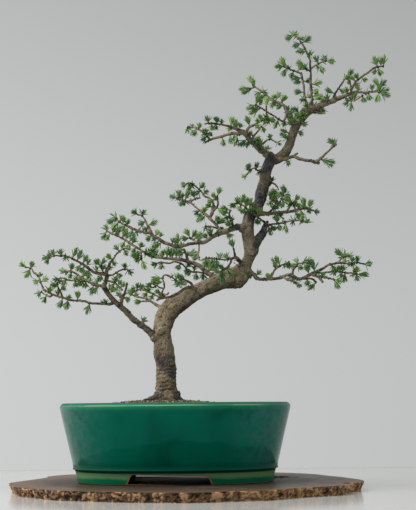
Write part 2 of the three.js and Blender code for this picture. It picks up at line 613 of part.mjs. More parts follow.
// The same numbers each time, from 0 to 1
function randomFrom(seed) {
  let state = seed;
  return () => {
    state = (state * 16807) % 2147483647;
    return state / 2147483647;
  };
}

function solidFrom(vertices, triangles) {
  return new wasm.Manifold(
    new wasm.Mesh({
      numProp: 3,
      vertProperties: new Float32Array(vertices.flatMap((v) => [v.x, v.y, v.z])),
      triVerts: new Uint32Array(triangles.flat()),
    }),
  );
}

// A three.js geometry as a solid, with its shared vertices merged
function solidOf(geometry) {
  const bare = geometry.clone();
  bare.deleteAttribute("normal");
  bare.deleteAttribute("uv");
  const merged = mergeVertices(bare, 1e-4);
  return new wasm.Manifold(
    new wasm.Mesh({
      numProp: 3,
      vertProperties: merged.attributes.position.array,
      triVerts: new Uint32Array(merged.index.array),
    }),
  );
}

function geometryOf(solid) {
  const mesh = solid.getMesh();
  return new THREE.BufferGeometry()
    .setAttribute("position", new THREE.BufferAttribute(mesh.vertProperties, 3))
    .setIndex(new THREE.BufferAttribute(mesh.triVerts, 1));
}

// A closed body through rings of points that turn counterclockwise seen from the last ring's side
function loft(rings) {
  const count = rings[0].length;
  const cap = THREE.ShapeUtils.triangulateShape(
    Array.from({ length: count }, (_, i) => {
      const angle = (2 * Math.PI * i) / count;
      return new THREE.Vector2(Math.cos(angle), Math.sin(angle));
    }),
    [],
  );
  return loftWithCaps(rings, cap, cap);
}

function loftWithCaps(rings, firstCap, lastCap) {
  const count = rings[0].length;
  const triangles = firstCap.map(([a, b, c]) => [a, c, b]);
  for (let r = 0; r + 1 < rings.length; r++)
    for (let i = 0; i < count; i++) {
      const next = (i + 1) % count;
      const [a, b] = [r * count + i, r * count + next];
      triangles.push([a, b, b + count], [a, b + count, a + count]);
    }
  const last = (rings.length - 1) * count;
  triangles.push(...lastCap.map((face) => face.map((i) => last + i)));
  return solidFrom(rings.flat(), triangles);
}

// A tapering limb along a route of [x, y, z, radius]
function limb(route, sides, swell = () => 1) {
  const points = route.map(([x, y, z]) => new THREE.Vector3(x, y, z));
  const normal = new THREE.Vector3(0.31, -0.92, 0.23);
  const rings = points.map((point, i) => {
    const tangent = points[Math.min(i + 1, points.length - 1)].clone();
    tangent.sub(points[Math.max(i - 1, 0)]).normalize();
    normal.addScaledVector(tangent, -normal.dot(tangent)).normalize();
    const binormal = tangent.clone().cross(normal);
    return Array.from({ length: sides }, (_, k) => {
      const angle = (2 * Math.PI * k) / sides;
      const radius = route[i][3] * swell(angle, point);
      const offset = normal.clone().multiplyScalar(Math.cos(angle) * radius);
      return offset.addScaledVector(binormal, Math.sin(angle) * radius).add(point);
    });
  });
  return loft(rings);
}

function largestBody(solid) {
  return solid.decompose().sort((a, b) => b.volume() - a.volume())[0];
}

// --- Tufts of needles ---

// The nearest point to [x, z], seen from the front, on the routes of a branch
function nearestOnWood(wood, x, z) {
  let best = { distance: Infinity };
  for (const route of wood)
    for (let i = 0; i + 1 < route.length; i++) {
      const from = new THREE.Vector3(...route[i]);
      const step = new THREE.Vector3(...route[i + 1]).sub(from);
      const length = step.x * step.x + step.z * step.z;
      const along = ((x - from.x) * step.x + (z - from.z) * step.z) / (length || 1);
      const point = from.addScaledVector(step, THREE.MathUtils.clamp(along, 0, 1));
      const distance = Math.hypot(x - point.x, z - point.z);
      const radius = THREE.MathUtils.lerp(route[i][3], route[i + 1][3], THREE.MathUtils.clamp(along, 0, 1));
      if (distance < best.distance) best = { distance, point, radius };
    }
  return best;
}

function distanceToWood(wood, point) {
  const nearest = new THREE.Vector3();
  let distance = Infinity;
  for (const route of wood)
    for (let i = 0; i + 1 < route.length; i++) {
      const line = new THREE.Line3(new THREE.Vector3(...route[i]), new THREE.Vector3(...route[i + 1]));
      line.closestPointToPoint(point, true, nearest);
      distance = Math.min(distance, nearest.distanceTo(point) - route[i][3]);
    }
  return distance;
}

// Where each tuft of each branch stands. A tuft that would meet another branch leans to the other side
// of its twig, or further out, and one that stands too close to the last tufts of its own twig is left off.
function placeTufts(branches) {
  const placed = [];
  Object.entries(branches).forEach(([name, { wood, tufts }], branchNumber) => {
    const others = Object.values(branches).flatMap((other) => (other.wood === wood ? [] : other.wood));
    const isNear = (own, centre, least) =>
      placed.some((other) => (other.name === name) === own && other.centre.distanceTo(centre) < least);
    const isClear = (centre) =>
      distanceToWood(others, centre) > TUFT_RADIUS && !isNear(false, centre, 2 * TUFT_RADIUS);
    tufts.forEach(([x, z], tuftNumber) => {
      const random = randomFrom(1000 * (branchNumber + 1) + tuftNumber + 1);
      random();
      const front = random() < 0.6 ? -1 : 1;
      const { point: base, radius } = nearestOnWood(wood, x, z);
      const across = Math.hypot(x - base.x, z - base.z);
      const lean = Math.sqrt(Math.max((radius + TUFT_REACH) ** 2 - across ** 2, 2.25));
      const choices = [lean, -lean, lean + 6, -lean - 6, lean + 11, -lean - 11];
      const centres = choices.map((y) => new THREE.Vector3(x, base.y + front * y, z));
      const centre = centres.find(isClear);
      if (!centre || isNear(true, centre, TUFT_SPACING)) return;
      const axis = centre.clone().sub(base).normalize();
      const root = centre.clone().addScaledVector(axis, -TUFT_BACK);
      placed.push({ name, base, root, axis, centre, roll: 2 * Math.PI * random(), random });
    });
  });
  return placed;
}

// One tuft: a short spur whose six flanks and end rise into seven needles
function tuft({ base, root, axis, roll, random }) {
  const side = new THREE.Vector3(axis.z, axis.x, axis.y).cross(axis).normalize();
  const up = axis.clone().cross(side);
  const outward = (angle) => {
    const direction = side.clone().multiplyScalar(Math.cos(roll + angle));
    return direction.addScaledVector(up, Math.sin(roll + angle));
  };
  const corner = (height, radius, angle) =>
    root.clone().addScaledVector(axis, height).addScaledVector(outward(angle), radius);
  const needleTip = (angle, spread) => {
    const direction = axis.clone().multiplyScalar(Math.cos(spread));
    direction.addScaledVector(outward(angle), Math.sin(spread));
    return root.clone().addScaledVector(direction, NEEDLE * (0.85 + 0.3 * random()));
  };
  const third = (2 * Math.PI) / 3;
  const foot = [0, 1, 2].map((k) => corner(-SPUR.height, SPUR.footRadius, k * third));
  const neck = [0, 1, 2].map((k) => corner(0, SPUR.neckRadius, (k + 0.5) * third));
  const heel = base.clone().addScaledVector(axis, -SPUR.stemRadius / 2);
  const vertices = [...foot, ...neck];
  const triangles = [];
  const raise = ([a, b, c], tip) => {
    const t = vertices.push(tip) - 1;
    triangles.push([a, b, t], [b, c, t], [c, a, t]);
  };
  raise([0, 2, 1], heel);
  for (let k = 0; k < 3; k++) {
    const next = (k + 1) % 3;
    raise([k, next, 3 + k], needleTip((k + 0.5) * third, SPREAD.low));
    raise([3 + k, next, 3 + next], needleTip((k + 1) * third, SPREAD.high));
  }
  raise([3, 4, 5], needleTip(0, SPREAD.end));
  const pieces = [solidFrom(vertices, triangles)];
  if (root.distanceTo(base) > 4 * SPUR.height) {
    const stemEnd = root.clone().addScaledVector(axis, -SPUR.height / 2);
    pieces.push(limb([[...base, SPUR.stemRadius], [...stemEnd, SPUR.stemRadius]], 3));
  }
  return pieces;
}

// --- The tree ---

function sidesFor(route) {
  const radius = Math.max(...route.map((point) => point[3]));
  return radius > 3 ? 6 : 4;
}

// A route without the points where neither its line nor its radius changes much
function thinned(route) {
  const kept = [route[0]];
  for (let i = 1; i + 1 < route.length; i++) {
    const [before, after] = [kept.at(-1), route[i + 1]];
    const line = new THREE.Line3(new THREE.Vector3(...before), new THREE.Vector3(...after));
    const point = new THREE.Vector3(...route[i]);
    const along = line.closestPointToPointParameter(point, true);
    const bend = line.at(along, new THREE.Vector3()).distanceTo(point);
    const swell = Math.abs(route[i][3] - THREE.MathUtils.lerp(before[3], after[3], along));
    if (Math.max(bend, swell) > STRAIGHT) kept.push(route[i]);
  }
  return [...kept, route.at(-1)];
}

// The trunk's skin: shallow flutes, deeper towards the root flare
function trunkSwell(angle, point) {
  const flare = Math.exp(-Math.max(point.z - 118, 0) / 16);
  const flutes = Math.sin(5 * angle + 0.6) + 0.6 * Math.sin(3 * angle + point.z / 31);
  return 1 + (0.025 + 0.05 * flare) * flutes;
}

// The trunk's own wood, with its radii made larger by a clearance
function trunkWood(clearance) {
  const grown = (route) => route.map(([x, y, z, radius]) => [x, y, z, radius + clearance]);
  const knots = KNOTS.map(([x, y, z, radius]) =>
    solidOf(new THREE.IcosahedronGeometry(radius + clearance, 0).translate(x, y, z)),
  );
  return wasm.Manifold.union([
    limb(grown(thinned(TRUNK)), 10, trunkSwell),
    limb(grown(STUB), 6),
    ...ROOTS.map((route) => limb(grown(route), 5)),
    ...knots,
  ]);
}

function makeTree() {
  const trunkRoutes = [TRUNK, STUB];
  const growth = { trunk: { wood: trunkRoutes, tufts: TRUNK_TUFTS }, ...BRANCHES };
  const tufts = placeTufts(growth);
  const tuftsOf = (name) => tufts.filter((one) => one.name === name).flatMap(tuft);
  const solids = { trunk: wasm.Manifold.union([trunkWood(0), ...tuftsOf("trunk")]) };
  const clearance = wasm.Manifold.union([trunkWood(GAP + 0.1), ...tuftsOf("trunk")]);
  for (const [name, { wood }] of Object.entries(BRANCHES)) {
    const limbs = wood.map((route) => limb(thinned(route), sidesFor(route)));
    const spray = wasm.Manifold.union([...limbs, ...tuftsOf(name)]);
    solids[name] = largestBody(spray.subtract(clearance));
  }
  return solids;
}

// --- The pot and what it holds ---

// A point of the pot's oval, inset from the rim's outline
function ovalPoint(angle, inset, z) {
  const power = (value) => Math.sign(value) * Math.abs(value) ** (2 / POT_ROUNDNESS);
  return new THREE.Vector3(
    (POT_LENGTH / 2 - inset) * power(Math.cos(angle)),
    (POT_DEPTH / 2 - inset) * power(Math.sin(angle)),
    z,
  );
}

function ovalRing(inset, z) {
  return Array.from({ length: POT_SEGMENTS }, (_, i) => ovalPoint((2 * Math.PI * i) / POT_SEGMENTS, inset, z));
}

// The body's outside slopes in towards the foot; this is its inset at a height
function wallInset(z) {
  return (BODY_TAPER * (RIM_SHOULDER - z)) / (RIM_SHOULDER - BODY_BOTTOM);
}

// A round cutter that goes right through the pot's floor
function floorCutter(radius, x, y) {
  const cylinder = new THREE.CylinderGeometry(radius, radius, FLOOR_TOP, 12).rotateX(Math.PI / 2);
  return solidOf(cylinder.translate(x, y, (FLOOR_TOP + UNDERSIDE) / 2));
}

// The trapezoid that is cut through the foot ring from front to back
function footGate(bottomZ) {
  const { middle, bottom, top } = FOOT_GATE;
  const shape = new THREE.Shape([
    new THREE.Vector2(-bottom / 2 - 1, bottomZ - 1),
    new THREE.Vector2(bottom / 2 + 1, bottomZ - 1),
    new THREE.Vector2(top / 2, UNDERSIDE),
    new THREE.Vector2(-top / 2, UNDERSIDE),
  ]);
  const gate = new THREE.ExtrudeGeometry(shape, { depth: POT_DEPTH, bevelEnabled: false });
  return solidOf(gate.rotateX(Math.PI / 2).translate(middle, POT_DEPTH / 2, 0));
}

function makePot() {
  const bottomZ = SLAB_HEIGHT + GAP;
  const footTop = SLAB_HEIGHT + FOOT_HEIGHT;
  const footInner = FOOT_INSET + FOOT_WIDTH;
  const profile = [
    [POT_DEPTH * 0.4, UNDERSIDE],
    [footInner + 2, UNDERSIDE],
    [footInner, UNDERSIDE - 3],
    [footInner, bottomZ],
    [FOOT_INSET + 1.5, bottomZ],
    [FOOT_INSET, bottomZ + 2],
    [FOOT_INSET - 2, footTop],
    [FOOT_INSET - 3, BODY_EDGE.height - 2.5],
    [BODY_EDGE.inset, BODY_EDGE.height - 1],
    [BODY_EDGE.inset, BODY_EDGE.height + 1],
    [wallInset(BODY_BOTTOM), BODY_BOTTOM],
    [0, RIM_SHOULDER],
    [0.6, RIM_HEIGHT - 3.5],
    [2.2, RIM_HEIGHT - 1.2],
    [4.6, RIM_HEIGHT],
    [WALL - 1, RIM_HEIGHT - 1],
    [WALL, RIM_SHOULDER],
    [WALL + wallInset(FLOOR_TOP + 6), FLOOR_TOP + 6],
    [WALL + wallInset(FLOOR_TOP) + 7, FLOOR_TOP],
    [POT_DEPTH * 0.4, FLOOR_TOP],
  ];
  const body = loft(profile.map(([inset, z]) => ovalRing(inset, z)));
  const ends = [-1, 1];
  const drains = ends.map((end) => floorCutter(DRAIN.radius, (end * DRAIN.spacing) / 2, 0));
  const wireHoles = ends.flatMap((end) =>
    ends.map((row) => floorCutter(WIRE_HOLE.radius, (end * WIRE_HOLE.spacing) / 2, row * WIRE_HOLE.row)),
  );
  return body.subtract(wasm.Manifold.union([footGate(bottomZ), ...drains, ...wireHoles]));
}

function box(width, depth, height, x, y, z) {
  return solidOf(new THREE.BoxGeometry(width, depth, height).translate(x, y, z));
}

// A square of plastic mesh that keeps the soil out of a drain hole
function makeScreen(x) {
  const { side, thickness, bar, cells } = SCREEN;
  const z = FLOOR_TOP + GAP + thickness / 2;
  const pitch = (side - bar) / cells;
  const holes = [];
  for (let column = 0; column < cells; column++)
    for (let row = 0; row < cells; row++) {
      const place = (n) => (n - (cells - 1) / 2) * pitch;
      holes.push(box(pitch - bar, pitch - bar, 3 * thickness, x + place(column), place(row), z));
    }
  return box(side, side, thickness, x, 0, z).subtract(wasm.Manifold.union(holes));
}

// The wire that holds a screen: slantwise over its middle, down the drain hole and out under the pot
function makeClip(x) {
  const low = UNDERSIDE - GAP - CLIP.radius;
  const high = FLOOR_TOP + 2 * GAP + SCREEN.thickness + CLIP.radius;
  const { leg, foot, radius } = CLIP;
  const half = [[leg, high], [leg, low], [foot, low]];
  const route = [...half.map(([along, z]) => [-along, z]).reverse(), ...half];
  return limb(route.map(([along, z]) => [x + along * Math.SQRT1_2, along * Math.SQRT1_2, z, radius]), 6);
}

function soilHeight(x, y) {
  const reach = Math.hypot((x - SOIL.middle) / SOIL.reachX, y / SOIL.reachY);
  return SOIL.edge + SOIL.mound * Math.exp(-0.9 * reach ** 3);
}

function makeSoil(trunkClearance, fittings) {
  const random = randomFrom(7);
  const clear = WALL + GAP + 0.2;
  const shoulder = SOIL.edge - 2;
  const rings = [
    ovalRing(POT_DEPTH * 0.4, FLOOR_TOP + GAP),
    ovalRing(clear + wallInset(FLOOR_TOP) + 8, FLOOR_TOP + GAP),
    ovalRing(clear + wallInset(FLOOR_TOP + 6) + 0.4, FLOOR_TOP + 7),
    ovalRing(clear + wallInset(shoulder), shoulder),
  ];
  for (const inset of [14, 34, 58, 88]) {
    const ring = ovalRing(inset, 0);
    for (const point of ring)
      point.z = soilHeight(point.x, point.y) + SOIL.grain * (2 * random() - 1);
    rings.push(ring);
  }
  return largestBody(loft(rings).subtract(trunkClearance).subtract(fittings));
}

// --- The slab ---

function makeSlab() {
  const random = randomFrom(11);
  const outline = SLAB_OUTLINE.map(([x, y]) => new THREE.Vector2(x, y)).reverse();
  const levels = [
    [0, SLAB_UNDERCUT],
    [0.3 * SLAB_HEIGHT, 0.75 * SLAB_UNDERCUT],
    [0.75 * SLAB_HEIGHT, 0],
    [SLAB_HEIGHT, 0.8],
  ];
  const rings = levels.map(([z, inset]) =>
    outline.map((point) => {
      const shrink = 1 - (inset + SLAB_RELIEF * random()) / point.length();
      return new THREE.Vector3(point.x * shrink, point.y * shrink, z);
    }),
  );
  const cap = THREE.ShapeUtils.triangulateShape(outline, []);
  return loftWithCaps(rings, cap, cap).subtract(makeCrack());
}

function makeCrack() {
  const { route, halfWidth, depth } = CRACK;
  const edge = (sign) => route.map(([x, y], i) => new THREE.Vector2(x, y + sign * halfWidth[i]));
  const shape = new THREE.Shape([...edge(-1), ...edge(1).reverse()]);
  const wedge = new THREE.ExtrudeGeometry(shape, { depth: 2 * depth, bevelEnabled: false });
  return solidOf(wedge.translate(0, 0, SLAB_HEIGHT - depth));
}

// --- The whole object ---

const material = (color, roughness) => new THREE.MeshStandardMaterial({ color, roughness, metalness: 0 });
const BARK = material(0x5a4e3e, 0.85);
const NEEDLES = material(0x3f7040, 0.6);
const GLAZE = material(0x005842, 0.15);
const MIX = material(0x463224, 0.95);
const SLICE = material(0x5f5048, 0.75);
const MESH = material(0x20221f, 0.6);
const WIRE = new THREE.MeshStandardMaterial({ color: 0x8a8d90, roughness: 0.4, metalness: 1 });

const bonsai = new THREE.Group();

function add(name, solid, finish) {
  const mesh = new THREE.Mesh(geometryOf(solid), finish);
  mesh.name = name;
  bonsai.add(mesh);
}

const ENDS = { left: -DRAIN.spacing / 2, right: DRAIN.spacing / 2 };
const fittingsClearance = [];

add("slab", makeSlab(), SLICE);
add("pot", makePot(), GLAZE);
for (const [end, x] of Object.entries(ENDS)) {
  add("drain_screen_" + end, makeScreen(x), MESH);
  add("screen_wire_" + end, makeClip(x), WIRE);
  const room = SCREEN.side + 2 * GAP;
  const height = 3 * (GAP + SCREEN.thickness);
  fittingsClearance.push(box(room, room, height, x, 0, FLOOR_TOP + height / 2));
}
add("soil", makeSoil(trunkWood(GAP + 0.1), wasm.Manifold.union(fittingsClearance)), MIX);
for (const [name, solid] of Object.entries(makeTree()))
  add(name, solid, name === "trunk" ? BARK : NEEDLES);

export default bonsai;
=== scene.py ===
"""A larch bonsai in a glazed oval pot on a bark-edged slab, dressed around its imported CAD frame.

Sizes are written in millimetres and turned into metres where they meet Blender.
"""

import sys

import logging
import math
from collections.abc import Callable, Iterable, Iterator, Mapping, Sequence
from contextlib import contextmanager
from dataclasses import dataclass, field, replace
from enum import Enum
from random import Random
from typing import Any

import bmesh
import bpy
import numpy as np
from mathutils import Matrix, Vector, noise
from mathutils.kdtree import KDTree


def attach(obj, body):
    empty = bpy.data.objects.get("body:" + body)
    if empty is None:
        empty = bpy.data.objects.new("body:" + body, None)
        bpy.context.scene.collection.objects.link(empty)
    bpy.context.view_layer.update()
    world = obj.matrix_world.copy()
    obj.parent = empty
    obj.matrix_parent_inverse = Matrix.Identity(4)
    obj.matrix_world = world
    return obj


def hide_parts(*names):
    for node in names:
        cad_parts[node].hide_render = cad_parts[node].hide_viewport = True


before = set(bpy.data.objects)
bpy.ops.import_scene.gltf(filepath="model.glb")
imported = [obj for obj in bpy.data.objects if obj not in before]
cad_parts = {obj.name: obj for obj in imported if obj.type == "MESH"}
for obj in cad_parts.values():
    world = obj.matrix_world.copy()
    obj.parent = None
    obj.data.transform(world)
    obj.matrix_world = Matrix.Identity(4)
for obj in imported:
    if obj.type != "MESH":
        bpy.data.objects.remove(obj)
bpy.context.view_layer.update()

LOG = logging.getLogger("larch")
MM = 0.001
TAU = 2 * math.pi

Piece = bpy.types.Object
Material = bpy.types.Material
Colour = tuple[float, float, float]
Route = tuple[tuple[float, float, float, float], ...]  # x, y, z and radius of each point
Spot = tuple[float, float]  # x and z, as seen from the front
Limbs = tuple[Sequence[Route], Sequence[Spot]]  # the routes of a branch's wood, and the spots of its tufts


class Slot(Enum):
    """The record's material slots."""

    SLAB = "slab_wood"
    GLAZE = "pot_glaze"
    PLASTIC = "screen_plastic"
    WIRE = "screen_wire"
    SOIL = "soil_mix"
    BARK = "bark"
    SPRAY = "larch_spray"


class End(Enum):
    """The two ends of the pot, and which way each lies."""

    LEFT = -1
    RIGHT = 1


# --- The tree's routes ---

TRUNK: Route = (
    (-8, 0, 66, 5), (-9, 0, 84, 12), (-10, 0, 104, 17), (-10, 0, 118, 17.5), (-11, 0, 124, 15.2),
    (-12, 0, 131, 13.9), (-12, 0, 144, 13.5), (-12, 0, 157, 13.2), (-13, 0, 170, 13), (-15, 0, 183, 13.5),
    (-17, 0, 197, 12), (-18, 0, 207, 12.2), (-16, 1, 217, 12.7), (-11, 2, 231, 13.3), (0, 3, 244, 13.4),
    (15, 4, 253, 12.1), (30, 5, 262, 10.7), (46, 5, 269, 10.7), (61, 4, 275, 10.7), (74, 3, 278, 12.7),
    (85, 2, 282, 14.7), (92, 1, 292, 10.7), (98, 0, 303, 7.8), (101, 0, 310, 8.1), (103, 0, 319, 10.1),
    (99, -1, 333, 8.3), (98, -2, 343, 9.1), (99, -2, 354, 8.5), (102, -1, 364, 8.1), (110, 1, 371, 8.1),
    (113, 2, 378, 7.2), (116, 2, 385, 7.4), (117, 3, 392, 8.1), (119, 3, 399, 8.4), (121, 3, 406, 8.1),
    (123, 2, 412, 8.1), (123, 1, 419, 7.9), (125, 1, 426, 7.5), (128, 0, 433, 7.2), (131, 0, 439, 7.5),
    (140, -1, 441, 6.8), (149, -2, 447, 6.8), (155, -1, 457, 6.1), (159, 0, 468, 5.8), (163, 1, 480, 5.9),
    (166, 2, 488, 6.8), (172, 3, 498, 7.1), (180, 3, 506, 6.7), (190, 3, 511, 5.6), (200, 2, 515, 4.6),
)

STUB: Route = (
    (107, 0, 322, 6.7), (112, 2, 331, 6.1), (118, 6, 339, 5.4), (121, 7, 346, 4.6), (124, 10, 353, 3.5),
    (126, 12, 358, 2.4),
)

